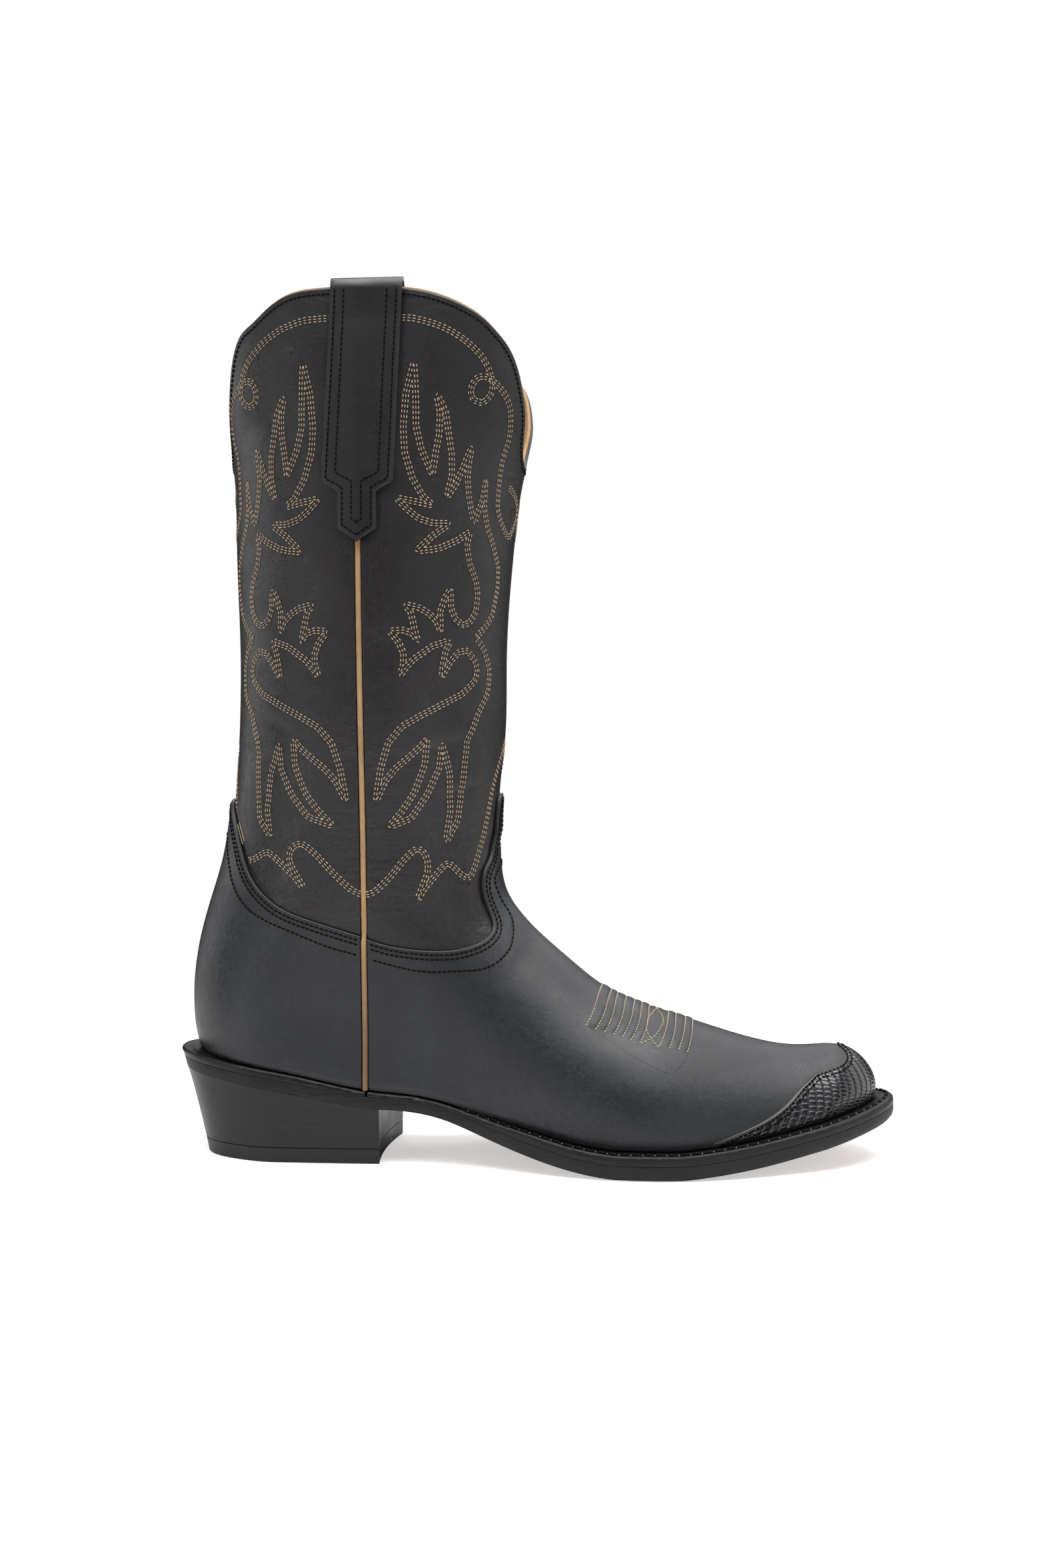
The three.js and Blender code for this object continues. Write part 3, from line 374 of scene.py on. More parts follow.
# Soft creases of worn leather: (round, level) at both ends, half-width and depth.
CREASES = [
    (-1.72, 191, -1.3, 178, 2.6, 0.55), (-1.85, 173, -1.42, 168, 2.2, 0.5), (-1.6, 205, -1.25, 196, 3, 0.4),
    (-0.75, 168, -0.35, 178, 2.8, 0.4), (-0.6, 150, -0.2, 158, 2.4, 0.35), (-0.3, 130, 0.25, 133, 2.6, 0.5),
    (1.3, 178, 1.75, 190, 2.6, 0.5), (1.45, 168, 1.9, 174, 2.2, 0.45), (0.3, 172, 0.75, 164, 2.8, 0.4),
    (-0.55, 84, -0.1, 100, 3.2, 0.35), (0.1, 100, 0.5, 86, 3.2, 0.35), (-1.65, 300, -1.25, 318, 5, 0.4),
    (-0.7, 240, -0.35, 285, 6, 0.35), (1.2, 250, 1.7, 300, 6, 0.4), (0.3, 230, 0.7, 300, 6, 0.35),
]


def relief(rnd, level):
    """Height of the leather's swells and creases: each crease is a soft-sided groove along a
    segment, with a swell beside it, on top of a slow wave over the whole surface."""
    flat = np.stack([((np.asarray(rnd) + 2) % 4 - 2) * MM_ROUND, np.asarray(level, float) + 0 * rnd], -1)
    turn = flat[..., 0] * 2 * np.pi / (4 * MM_ROUND)
    height = 0.22 * np.sin(3 * turn + 1.3) * np.sin(flat[..., 1] / 23 + 0.6)
    height = height + 0.14 * np.sin(6 * turn + flat[..., 1] / 14)
    for r0, l0, r1, l1, width, depth in CREASES:
        start, end = np.array([r0 * MM_ROUND, l0]), np.array([r1 * MM_ROUND, l1])
        along = end - start
        t = np.clip(((flat - start) @ along) / (along @ along), 0, 1)
        bow = 0.06 * np.linalg.norm(along) * 4 * t * (1 - t)
        away = flat - start - t[..., None] * along
        side = away @ np.array([-along[1], along[0]]) / np.linalg.norm(along) - bow
        beyond = np.linalg.norm(away, axis=-1) ** 2 - (side + bow) ** 2
        fade = np.exp(-np.maximum(beyond, 0) / (width * 2) ** 2) * (0.35 + 0.65 * np.sin(np.pi * t))
        groove = np.exp(-((side / width) ** 2))
        swell = 0.55 * np.exp(-(((side - 2.1 * width) / (1.3 * width)) ** 2))
        height = height + depth * fade * (swell - groove)
    return height


# ---- Mesh building ----
def build(name, points, quads, material, stands_for=(), uv=None, marks=None, tris=None):
    """A piece from points in millimetres of the drawn last and arrays of four- and three-sided faces."""
    quads = np.asarray(quads, np.int32).reshape(-1, 4)
    tris = np.zeros((0, 3), np.int32) if tris is None else np.asarray(tris, np.int32).reshape(-1, 3)
    flat = np.asarray(points, float).reshape(-1, 3)
    mesh = bpy.data.meshes.new(name)
    mesh.vertices.add(len(flat))
    mesh.vertices.foreach_set("co", ((flat - ORIGIN) / 1000).astype(np.float32).ravel())
    corners = np.concatenate([quads.ravel(), tris.ravel()])
    mesh.loops.add(len(corners))
    mesh.loops.foreach_set("vertex_index", corners)
    starts = np.concatenate([np.arange(len(quads)) * 4, len(quads) * 4 + np.arange(len(tris)) * 3])
    mesh.polygons.add(len(starts))
    mesh.polygons.foreach_set("loop_start", starts.astype(np.int32))
    mesh.update(calc_edges=True)
    mesh.shade_smooth()
    mesh.set_sharp_from_angle(angle=math.radians(SHARP_ANGLE))
    if uv is not None:
        layer = mesh.uv_layers.new(name="lay")
        layer.data.foreach_set("uv", np.asarray(uv, np.float32).reshape(-1, 2)[corners].ravel())
    for mark, values in (marks or {}).items():
        attribute = mesh.attributes.new(mark, "FLOAT", "POINT")
        attribute.data.foreach_set("value", np.asarray(values, np.float32).ravel())
    mesh.materials.append(material)
    piece = bpy.data.objects.new(name, mesh)
    scene.collection.objects.link(piece)
    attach(piece, "root")
    if stands_for:
        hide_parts(*stands_for)
    return piece


def grid_quads(count_i, count_j, wrap_i=False, wrap_j=False):
    """Faces of a grid of points numbered i * count_j + j, facing along (i step) x (j step)."""
    i = np.arange(count_i if wrap_i else count_i - 1)[:, None]
    j = np.arange(count_j if wrap_j else count_j - 1)[None]
    ni, nj = (i + 1) % count_i, (j + 1) % count_j
    corners = [i * count_j + j, ni * count_j + j, ni * count_j + nj, i * count_j + nj]
    return np.stack(np.broadcast_arrays(*corners), -1).reshape(-1, 4)


def shell_quads(count_i, count_j):
    """Faces that close the space between an outer and an inner grid of the same size."""
    outer = grid_quads(count_i, count_j)
    inner = outer[:, ::-1] + count_i * count_j
    loop = np.concatenate([
        np.arange(count_i) * count_j,
        (count_i - 1) * count_j + np.arange(1, count_j),
        (np.arange(count_i - 1)[::-1]) * count_j + count_j - 1,
        np.arange(1, count_j - 1)[::-1],
    ])
    ahead = np.roll(loop, -1)
    far = count_i * count_j
    rim = np.stack([ahead, loop, loop + far, ahead + far], 1)
    return np.concatenate([outer, inner, rim])


EDGE = np.array([0, 0.18, 0.45, 0.8, 1.4])  # fine steps beside a cut edge


def spread(start, end, per_start, per_end, count):
    """Places from start to end, with fine steps near both ends, and the way to the nearer end."""
    first = start[:, None] + EDGE * per_start[:, None]
    last = end[:, None] - EDGE[::-1] * per_end[:, None]
    t = np.linspace(0, 1, count + 2)[1:-1]
    middle = mix(first[:, -1:], last[:, :1], t)
    return np.concatenate([first, middle, last], 1), np.concatenate([EDGE, np.full(count, 9.0), EDGE[::-1]])


def panel_places(first, last, low, high, margin, count):
    """The grid of a leather panel: columns from side to side, rows from its low to its high edge.
    Returns round, level and the way to the nearest cut edge."""
    share = np.array([1 / MM_ROUND])
    columns, from_side = spread(
        np.array([first]) + margin * share, np.array([last]) - margin * share, share, share, count[0])
    columns = columns[0]

    def steepness(curve):
        rise = (curve(columns + 0.004) - curve(columns - 0.004)) / 0.008
        return np.sqrt(1 + np.minimum(np.abs(rise) / MM_ROUND, 4) ** 2)

    level, from_end = spread(low(columns), high(columns), steepness(low), steepness(high), count[1])
    rnd = np.repeat(columns[:, None], level.shape[1], 1)
    edge = len(EDGE)
    if margin:
        near = first + (margin + EDGE[:, None]) / mm_per_round(first + 0.02, level[:edge])
        far = last - (margin + EDGE[::-1, None]) / mm_per_round(last - 0.02, level[-edge:])
        t = (columns[edge:-edge, None] - columns[edge - 1]) / (columns[-edge] - columns[edge - 1])
        rnd = np.concatenate([near, mix(near[-1:], far[:1], t), far])
    return rnd, level, np.minimum(from_side[:, None], from_end[None])


def cut_edge(way, corner):
    """How far a surface drops beside a cut edge rounded to a quarter circle."""
    s = np.clip(1 - way / corner, 0, 1)
    return corner * (1 - np.sqrt(1 - s * s))


def lay_uv(rnd, level):
    """Flat coordinates in centimetres on the leather."""
    return np.stack([rnd * MM_ROUND / 10, level / 10], -1)


def panel(name, ends, low, high, layer, material, stands_for, count=(200, 150), margin=PANEL_MARGIN,
          worn=1.0, corner=0.6, shape=None):
    """A leather panel: the form moved out by its layer, with rounded cut edges, closed at the back."""
    rnd, level, way = panel_places(*ends, low, high, margin, count)
    swell = worn * relief(rnd, level) if worn else 0
    extra = shape(rnd, level) if shape else 0
    outer = skin(rnd, level, layer[1] + swell + extra - cut_edge(way, corner))
    inner = skin(rnd, level, layer[0] + swell + 0 * rnd)
    uv = np.concatenate([lay_uv(rnd, level).reshape(-1, 2)] * 2)
    points = np.concatenate([outer.reshape(-1, 3), inner.reshape(-1, 3)])
    return build(name, points, shell_quads(*rnd.shape), material, stands_for, uv)


def carried(name, points, material, stands_for=(), closed=False):
    """A profile carried along a path: points[station, corner]; its ends close to their middles."""
    stations, corners = points.shape[:2]
    quads = grid_quads(stations, corners, closed, True)
    flat = points.reshape(-1, 3)
    along = np.linalg.norm(np.diff(points[:, 0], axis=0), axis=1).cumsum()
    along = np.concatenate([[0], along])[:, None] / 10
    uv = np.stack(np.broadcast_arrays(along, np.arange(corners) / corners), -1).reshape(-1, 2)
    if closed:
        return build(name, flat, quads, material, stands_for, uv)
    around = np.arange(corners)
    ahead = (around + 1) % corners
    last = (stations - 1) * corners
    tips = len(flat)
    caps = [
        np.stack([around * 0 + tips, ahead, around], 1),
        np.stack([around * 0 + tips + 1, around + last, ahead + last], 1),
    ]
    flat = np.concatenate([flat, points[0].mean(0)[None], points[-1].mean(0)[None]])
    uv = np.concatenate([uv, uv[:1], uv[-1:]])
    return build(name, flat, quads, material, stands_for, uv, tris=np.concatenate(caps))


# ---- Stitching ----
def drawn(points, step=0.7):
    """A curve through (round, level) points, as even short steps of a Catmull-Rom curve."""
    points = np.array(points, float)
    held = np.concatenate([2 * points[:1] - points[1:2], points, 2 * points[-1:] - points[-2:-1]])
    out = []
    for k in range(len(points) - 1):
        run = (points[k + 1] - points[k]) * (MM_ROUND, 1)
        t = np.arange(0, 1, min(0.5, step / max(np.hypot(*run), 0.1)))
        out.append((cubic(t)[:, :, None] * held[k:k + 4][:, None]).sum(0))
    return np.concatenate(out + [points[-1:]])


def straight(points, step=0.7):
    """The same with straight runs between the points, for a pattern with sharp corners."""
    points = np.array(points, float)
    length = np.hypot(*(np.diff(points, axis=0) * (MM_ROUND, 1)).T).cumsum()
    length = np.concatenate([[0], length])
    even = np.arange(0, length[-1], step)
    return np.stack([np.interp(even, length, points[:, k]) for k in (0, 1)], 1)


def beside(curve, distance):
    """The curve moved sideways on the surface by a distance in mm, to the left of its run."""
    here, out = surface(curve[:, 0], curve[:, 1])
    run = unit(np.gradient(here, axis=0))
    left = np.cross(out, run)
    by_round = (skin(curve[:, 0] + 0.01, curve[:, 1], 0.0) - here) / 0.01
    by_level = (skin(curve[:, 0], curve[:, 1] + 1.0, 0.0) - here)
    a, b, c = (by_round**2).sum(1), (by_round * by_level).sum(1), (by_level**2).sum(1)
    p, q = (left * by_round).sum(1) * distance, (left * by_level).sum(1) * distance
    det = a * c - b * b
    return curve + np.stack([(c * p - b * q) / det, (a * q - b * p) / det], 1)


def eased(curve, width=3):
    """A curve with its corners softened over a few steps."""
    kernel = np.ones(2 * width + 1) / (2 * width + 1)
    held = np.pad(curve, ((width, width), (0, 0)), mode="edge")
    return np.stack([np.convolve(held[:, k], kernel, "valid") for k in (0, 1)], 1)


def places_along(curve, pitch, offset, worn=1.0):
    """Points an even pitch apart along a curve on the surface, with their run and outward directions."""
    lift = offset + (worn * relief(curve[:, 0], curve[:, 1]) if worn else 0)
    line = skin(curve[:, 0], curve[:, 1], lift + 0 * curve[:, 0])
    _, out = surface(curve[:, 0], curve[:, 1])
    return even_places(line, out, pitch)


def even_places(line, out, pitch, guide=None):
    """Points, runs and outward directions every pitch along a line, or in step with a guide line."""
    measured = line if guide is None else guide
    way = np.concatenate([[0], np.linalg.norm(np.diff(measured, axis=0), axis=1).cumsum()])
    count = max(2, int(way[-1] / pitch))
    stops = (np.arange(count) + 0.5) * way[-1] / count

    def at(s, values):
        return np.stack([np.interp(s, way, values[:, k]) for k in range(3)], 1)

    run = unit(at(stops + 0.3 * pitch, line) - at(stops - 0.3 * pitch, line))
    return at(stops, line), run, unit(at(stops, out))


STITCH_X = np.array([-0.47, -0.36, -0.12, 0.12, 0.36, 0.47])
STITCH_FAT = np.array([0.35, 0.85, 1, 1, 0.85, 0.35])
SIDES = 6


def stitches(name, rows, length, radius, material, seed=1, sunk=0.75, flat=0.8):
    """Many stitches as one piece: each is a short bar, six-sided, thickest in the middle, that
    dips into the leather at both ends; rows are (points, runs, outward directions)."""
    random = np.random.default_rng(seed)
    centre, run, out = (np.concatenate([row[k] for row in rows]) for k in range(3))
    side = np.cross(out, run)
    turn = random.normal(0, 0.035, (len(centre), 1))
    run, side = unit(run + side * turn), unit(side - run * turn)
    round_bar = np.arange(SIDES) * 2 * np.pi / SIDES
    x = np.repeat(STITCH_X, SIDES)
    fat = np.repeat(STITCH_FAT, SIDES) * radius
    y = np.tile(np.cos(round_bar), len(STITCH_X)) * fat
    z = np.tile(np.sin(round_bar), len(STITCH_X)) * fat * flat + radius * (0.55 - sunk * 4 * x * x)
    points = (centre[:, None] + run[:, None] * (x * length)[:, None]
              + side[:, None] * y[:, None] + out[:, None] * z[:, None])
    quads = grid_quads(len(STITCH_X), SIDES, False, True)
    base = np.arange(len(centre))[:, None, None] * len(x)
    ends = np.arange(SIDES)
    cap = np.array([[0, 3, 2, 1], [0, 5, 4, 3]])
    caps = np.concatenate([cap, ends[-1] + 1 + (len(STITCH_X) - 2) * SIDES + cap[:, ::-1]])
    faces = np.concatenate([(quads[None] + base).reshape(-1, 4), (caps[None] + base).reshape(-1, 4)])
    uv = np.stack(np.broadcast_arrays(x[None] + np.arange(len(centre))[:, None],
                                      np.tile(round_bar / (2 * np.pi), len(STITCH_X))[None]), -1)
    return build(name, points, faces, material, (), uv)


# ---- Materials ----
def wire(tree, kind, sockets=None, **settings):
    """Adds a shader node; each socket is set to a number, colour or vector, or linked to an output."""
    node = tree.nodes.new("ShaderNode" + kind)
    for key, value in settings.items():
        setattr(node, key, value)
    for key, value in (sockets or {}).items():
        if isinstance(value, bpy.types.NodeSocket):
            tree.links.new(value, node.inputs[key])
        else:
            node.inputs[key].default_value = value
    return node


def maths(tree, operation, *values, clamp=False):
    """One step of shader arithmetic."""
    node = wire(tree, "Math", dict(enumerate(values)), operation=operation, use_clamp=clamp)
    return node.outputs[0]


def noise(tree, place, scale, detail=2.0, **more):
    """The value of a noise over a place."""
    sockets = {"Vector": place, "Scale": scale, "Detail": detail, **more}
    return wire(tree, "TexNoise", sockets).outputs["Fac"]


def risen(tree, value, start, gain):
    """0 up to a start, rising by a gain, and 1 at most."""
    return maths(tree, "MULTIPLY", maths(tree, "SUBTRACT", value, start), gain, clamp=True)


def stretched(tree, place, scale, **more):
    """A place scaled by its own amount along each axis."""
    return wire(tree, "Mapping", {"Vector": place, "Scale": scale, **more}).outputs[0]


def cells_of(tree, place, scale, feature):
    """What a pattern of cells gives over a place."""
    return wire(tree, "TexVoronoi", {"Vector": place, "Scale": scale}, feature=feature).outputs


def effect(name, inputs, outputs, body):
    """A shader node group with named sockets; body fills it in and returns its outputs."""
    tree = bpy.data.node_groups.new(name, "ShaderNodeTree")
    for label, kind, value in inputs:
        socket = tree.interface.new_socket(label, in_out="INPUT", socket_type="NodeSocket" + kind)
        if kind == "Float":
            socket.default_value = value
    for label in outputs:
        tree.interface.new_socket(label, in_out="OUTPUT", socket_type="NodeSocketFloat")
    entry = tree.nodes.new("NodeGroupInput").outputs
    leave = tree.nodes.new("NodeGroupOutput").inputs
    for label, value in zip(outputs, body(tree, entry)):
        tree.links.new(value, leave[label])
    return tree


def grain_body(tree, entry):
    """Pebbled grain: cells of two sizes with soft furrows between them, strength varying slowly."""
    place = entry["Place"]
    warp = wire(tree, "TexNoise", {"Vector": place, "Scale": 160.0, "Detail": 2.0})
    small = wire(tree, "VectorMath", {0: warp.outputs["Color"], "Scale": 0.0016}, operation="SCALE")
    terms = {0: place, 1: warp.outputs["Color"], 2: small.outputs[0]}
    bent = wire(tree, "VectorMath", terms, operation="MULTIPLY_ADD").outputs[0]
    edges = cells_of(tree, bent, entry["Cells"], "DISTANCE_TO_EDGE")
    pores = cells_of(tree, bent, maths(tree, "MULTIPLY", entry["Cells"], 2.3), "SMOOTH_F1")
    furrow = maths(tree, "MULTIPLY", edges["Distance"], 5.0, clamp=True)
    pore = maths(tree, "MULTIPLY", pores["Distance"], -0.5)
    strength = maths(tree, "ADD", noise(tree, place, 38.0, 3.0), 0.35)
    # The second output is low in the furrows; the leather uses it to paint shade there.
    return maths(tree, "MULTIPLY", maths(tree, "ADD", furrow, pore), strength), furrow


def crease_body(tree, entry):
    """Wrinkles: thin furrows where a drawn-out noise crosses its middle value, at two sizes, in patches."""
    drawn_out = stretched(tree, entry["Place"], (0.32, 0.32, 1.0))
    furrows = 0.0
    for size, depth in ((1.0, 1.0), (2.4, 0.3)):
        scale = maths(tree, "MULTIPLY", entry["Waves"], size)
        wave = noise(tree, drawn_out, scale, 3.0, Distortion=0.5)
        off = maths(tree, "ABSOLUTE", maths(tree, "SUBTRACT", wave, 0.5))
        furrow = maths(tree, "SUBTRACT", 1.0, maths(tree, "MULTIPLY", off, 6.0), clamp=True)
        furrows = maths(tree, "MULTIPLY_ADD", furrow, -depth, furrows)
    mask = risen(tree, noise(tree, entry["Place"], 19.0), 0.3, 2.5)
    return maths(tree, "MULTIPLY", furrows, mask), mask


def wear_body(tree, entry):
    """Handling marks: broad smudges, and short faint scratches where they are strongest."""
    smudge = risen(tree, noise(tree, entry["Place"], 31.0, 6.0, Roughness=0.62), 0.4, 4.0)
    slant = stretched(tree, entry["Place"], (40, 900, 500), Rotation=(0.4, 0.7, 0.3))
    scratch = risen(tree, noise(tree, slant, 1.0), 0.64, 9.0)
    return smudge, maths(tree, "MULTIPLY", scratch, smudge)


def twist_body(tree, entry):
    """Twisted thread: slanting plies round the stitch, and a shade that changes stitch by stitch."""
    along, around = wire(tree, "SeparateXYZ", {0: entry["Place"]}).outputs[:2]
    slant = maths(tree, "MULTIPLY_ADD", along, 4.0, maths(tree, "MULTIPLY", around, 2.0))
    ply = maths(tree, "PINGPONG", slant, 0.5)
    stitch = wire(tree, "TexWhiteNoise", {"W": maths(tree, "ROUND", along)}, noise_dimensions="1D")
    return maths(tree, "MULTIPLY", ply, 2.0), stitch.outputs["Value"]


def plate_body(tree, entry):
    """Lizard plates: the mesh gives the plates' height; their rims are darkened with painted shade and their
    crowns shine.
    """
    rim = maths(tree, "MULTIPLY", maths(tree, "SUBTRACT", 0.75, entry["Plate"]), 1.6, clamp=True)
    fine = cells_of(tree, entry["Place"], 2600.0, "SMOOTH_F1")["Distance"]
    tone = wire(tree, "TexWhiteNoise", {"W": entry["Number"]}, noise_dimensions="1D")
    height = maths(tree, "MULTIPLY_ADD", fine, 0.2, maths(tree, "MULTIPLY", rim, -1.0))
    return height, rim, tone.outputs["Value"]


def layers_body(tree, entry):
    """Stacked leather: thin seams at even heights, and fibres between them."""
    height = wire(tree, "SeparateXYZ", {0: entry["Place"]}).outputs[2]
    fibre = noise(tree, stretched(tree, entry["Place"], (150, 150, 2400)), 1.0, 4.0)
    level = maths(tree, "MULTIPLY_ADD", noise(tree, entry["Place"], 30.0), 0.0012, height)
    seam = maths(tree, "PINGPONG", maths(tree, "DIVIDE", level, entry["Pitch"]), 0.5)
    line = maths(tree, "MULTIPLY", maths(tree, "SUBTRACT", 0.09, seam), 11.0, clamp=True)
    return maths(tree, "MULTIPLY_ADD", line, -1.0, maths(tree, "MULTIPLY", fibre, 0.5)), line


def crumb_body(tree, entry):
    """Crumbs or fibres pressed together, each with its own shade."""
    crumbs = cells_of(tree, entry["Place"], entry["Cells"], "F1")
    return crumbs["Distance"], wire(tree, "SeparateXYZ", {0: crumbs["Color"]}).outputs[0]


def weave_body(tree, entry):
    """Plain weave: two crossed sets of waves, over and under."""
    parts = wire(tree, "SeparateXYZ", {0: entry["Place"]}).outputs
    across, along = (maths(tree, "SINE", maths(tree, "MULTIPLY", parts[k], 9000.0)) for k in (0, 2))
    over = maths(tree, "MULTIPLY", across, along)
    return maths(tree, "MULTIPLY_ADD", over, 0.5, 0.5), maths(tree, "ABSOLUTE", across)


def metal_body(tree, entry):
    """Drawn metal: fine lines along X, and slow stains."""
    lines = noise(tree, stretched(tree, entry["Place"], (60, 4000, 4000)), 1.0, 3.0)
    return lines, noise(tree, entry["Place"], 120.0, 4.0)


PLACE = ("Place", "Vector", None)
GRAIN = effect("Leather Grain", [PLACE, ("Cells", "Float", 700.0)], ["Height", "Furrow"], grain_body)
CREASING = effect("Fine Creases", [PLACE, ("Waves", "Float", 120.0)], ["Height", "Mask"], crease_body)
WEAR = effect("Handling Marks", [PLACE], ["Smudge", "Scratch"], wear_body)
TWIST = effect("Twisted Thread", [PLACE], ["Height", "Shade"], twist_body)
PLATES = effect("Lizard Plates", [PLACE, ("Plate", "Float", 1.0), ("Number", "Float", 0.0)],
                ["Height", "Rim", "Shade"], plate_body)
LAYERS = effect("Stacked Layers", [PLACE, ("Pitch", "Float", 0.0058)], ["Height", "Seam"], layers_body)
CRUMB = effect("Pressed Crumbs", [PLACE, ("Cells", "Float", 900.0)], ["Height", "Shade"], crumb_body)
WEAVE = effect("Plain Weave", [PLACE], ["Height", "Shade"], weave_body)
METAL = effect("Drawn Metal", [PLACE], ["Height", "Shade"], metal_body)


class Finish:
    """One material being put together: object coordinates, effects, then the surface shader."""

    def __init__(self, name):
        self.material = bpy.data.materials.new(name)
        self.material.use_nodes = True
        self.tree = self.material.node_tree
        self.shader = self.tree.nodes["Principled BSDF"]
        coords = wire(self.tree, "TexCoord")
        self.place, self.lay = coords.outputs["Object"], coords.outputs["UV"]

    def use(self, group, **sockets):
        """One of the effects, its outputs by name."""
        node = self.tree.nodes.new("ShaderNodeGroup")
        node.node_tree = group
        for key, value in {"Place": self.place, **sockets}.items():
            if isinstance(value, bpy.types.NodeSocket):
                self.tree.links.new(value, node.inputs[key])
            else:
                node.inputs[key].default_value = value
        return node.outputs

    def blend(self, factor, low, high):
        """A colour or number between low and high by a factor."""
        if isinstance(low, (int, float)) and isinstance(high, (int, float)):
            return wire(self.tree, "MapRange", {"Value": factor, "To Min": low, "To Max": high}).outputs[0]
        node = wire(self.tree, "Mix", data_type="RGBA")
        for socket, value in ((node.inputs[0], factor), (node.inputs[6], low), (node.inputs[7], high)):
            if isinstance(value, bpy.types.NodeSocket):
                self.tree.links.new(value, socket)
            else:
                socket.default_value = (*value, 1) if isinstance(value, tuple) else value
        return node.outputs[2]

    def bump(self, *heights):
        """Chains bumps of (height, depth in metres)."""
        normal = None
        for height, depth in heights:
            node = wire(self.tree, "Bump", {"Height": height, "Distance": depth, "Strength": 1.0})
            if normal:
                self.tree.links.new(normal, node.inputs["Normal"])
            normal = node.outputs[0]
        self.tree.links.new(normal, self.shader.inputs["Normal"])

    def surface(self, **sockets):
        """The finished material, with its shader's sockets set or linked."""
        for key, value in sockets.items():
            socket = self.shader.inputs[key.replace("_", " ")]
            if isinstance(value, bpy.types.NodeSocket):
                self.tree.links.new(value, socket)
            else:
                socket.default_value = (*value, 1) if isinstance(value, tuple) else value
        return self.material


def deeper(colour, share):
    """A share of a colour."""
    return tuple(share * c for c in colour)


def leather(name, deep, light, rough, cells=700.0, grain=0.00005, waves=130.0, creasing=0.00035, edge=None,
            shine=0.5):
    """Grained leather: colour between deep and light, painted shade in the grain's furrows, roughness from
    creases and handling marks.
    """
    made = Finish(name)
    grained, creased, worn = made.use(GRAIN, Cells=cells), made.use(CREASING, Waves=waves), made.use(WEAR)
    colour = made.blend(worn["Smudge"], deep, light)
    # Painted shade: the grain's furrows are darkened towards the deep colour.
    colour = made.blend(grained["Furrow"], deeper(deep, 0.7), colour)
    scratch = maths(made.tree, "MULTIPLY", worn["Scratch"], 0.35)
    colour = made.blend(scratch, colour, deeper(light, 1.8))
    if edge:
        dressed = wire(made.tree, "Attribute", attribute_name="dressed")
        colour = made.blend(dressed.outputs["Fac"], colour, edge)
    smudge = maths(made.tree, "MULTIPLY", worn["Smudge"], 0.7)
    sheen = maths(made.tree, "MULTIPLY_ADD", creased["Mask"], 0.3, smudge)
    made.bump((grained["Height"], grain), (creased["Height"], creasing))
    return made.surface(Base_Color=colour, Roughness=made.blend(sheen, rough[1], rough[0]),
                        Specular_IOR_Level=shine)


def thread(name, colour, shine=0.4):
    """Twisted thread of a colour, rougher where the plies dip, and darkened there with painted shade."""
    made = Finish(name)
    twist = made.use(TWIST, Place=made.lay)
    shade = made.blend(twist["Shade"], deeper(colour, 0.75), colour)
    # Painted shade: the dips between the plies are darkened.
    shade = made.blend(twist["Height"], deeper(colour, 0.6), shade)
    made.bump((twist["Height"], 0.00008))
    rough = made.blend(twist["Height"], 0.75, 0.5)
    return made.surface(Base_Color=shade, Roughness=rough, Specular_IOR_Level=shine)


SHAFT_LEATHER = leather(
    "shaft leather", (0.0075, 0.0058, 0.0062), (0.015, 0.0115, 0.0125), (0.22, 0.36), 1800.0, 0.000012,
    130.0, 0.00011)
STRAP_LOOK = leather(
    "strap leather", (0.0065, 0.0055, 0.006), (0.011, 0.0095, 0.0105), (0.3, 0.42), 1900.0, 0.00001,
    creasing=0.00008)
FOOT_LEATHER = leather(
    "foot leather", (0.0055, 0.0068, 0.009), (0.0105, 0.013, 0.0165), (0.31, 0.43), 1700.0, 0.000012,
    110.0, 0.00003)
LINING_LEATHER = leather("lining leather", (0.46, 0.27, 0.12), (0.56, 0.36, 0.18), (0.6, 0.75), 650.0)
EDGING_LEATHER = leather("edging leather", (0.47, 0.28, 0.125), (0.58, 0.38, 0.19), (0.5, 0.65), 900.0)
INSOLE_LEATHER = leather("insole leather", (0.42, 0.24, 0.11), (0.54, 0.34, 0.17), (0.6, 0.75), 600.0)
WELT_LEATHER = leather(
    "welt leather", (0.0035, 0.0033, 0.0035), (0.007, 0.0067, 0.007), (0.28, 0.42), 1500.0, 0.000015,
    shine=0.3)
SOLE_LEATHER = leather(
    "sole leather", (0.24, 0.13, 0.05), (0.34, 0.2, 0.09), (0.42, 0.6), 500.0, 0.00002,
    edge=(0.004, 0.0038, 0.004), shine=0.35)
TAN_THREAD = thread("tan thread", (0.7, 0.53, 0.34))
CREAM_THREAD = thread("cream thread", (0.72, 0.56, 0.33))
BLACK_THREAD = thread("black thread", (0.0025, 0.0025, 0.0028), 0.08)


def piping_leather():
    """Tan leather bead, darker towards the sole."""
    made = Finish("piping leather")
    grained, worn = made.use(GRAIN, Cells=1500.0), made.use(WEAR)
    height = wire(made.tree, "SeparateXYZ", {0: made.place}).outputs[2]
    low = wire(made.tree, "MapRange", {"Value": height, "From Min": 0.05, "From Max": 0.11}).outputs[0]
    colour = made.blend(low, (0.2, 0.11, 0.055), (0.5, 0.31, 0.145))
    colour = made.blend(maths(made.tree, "MULTIPLY", worn["Smudge"], 0.45), colour, (0.34, 0.2, 0.09))
    made.bump((grained["Height"], 0.00005))
    return made.surface(Base_Color=colour, Roughness=made.blend(worn["Smudge"], 0.42, 0.6))


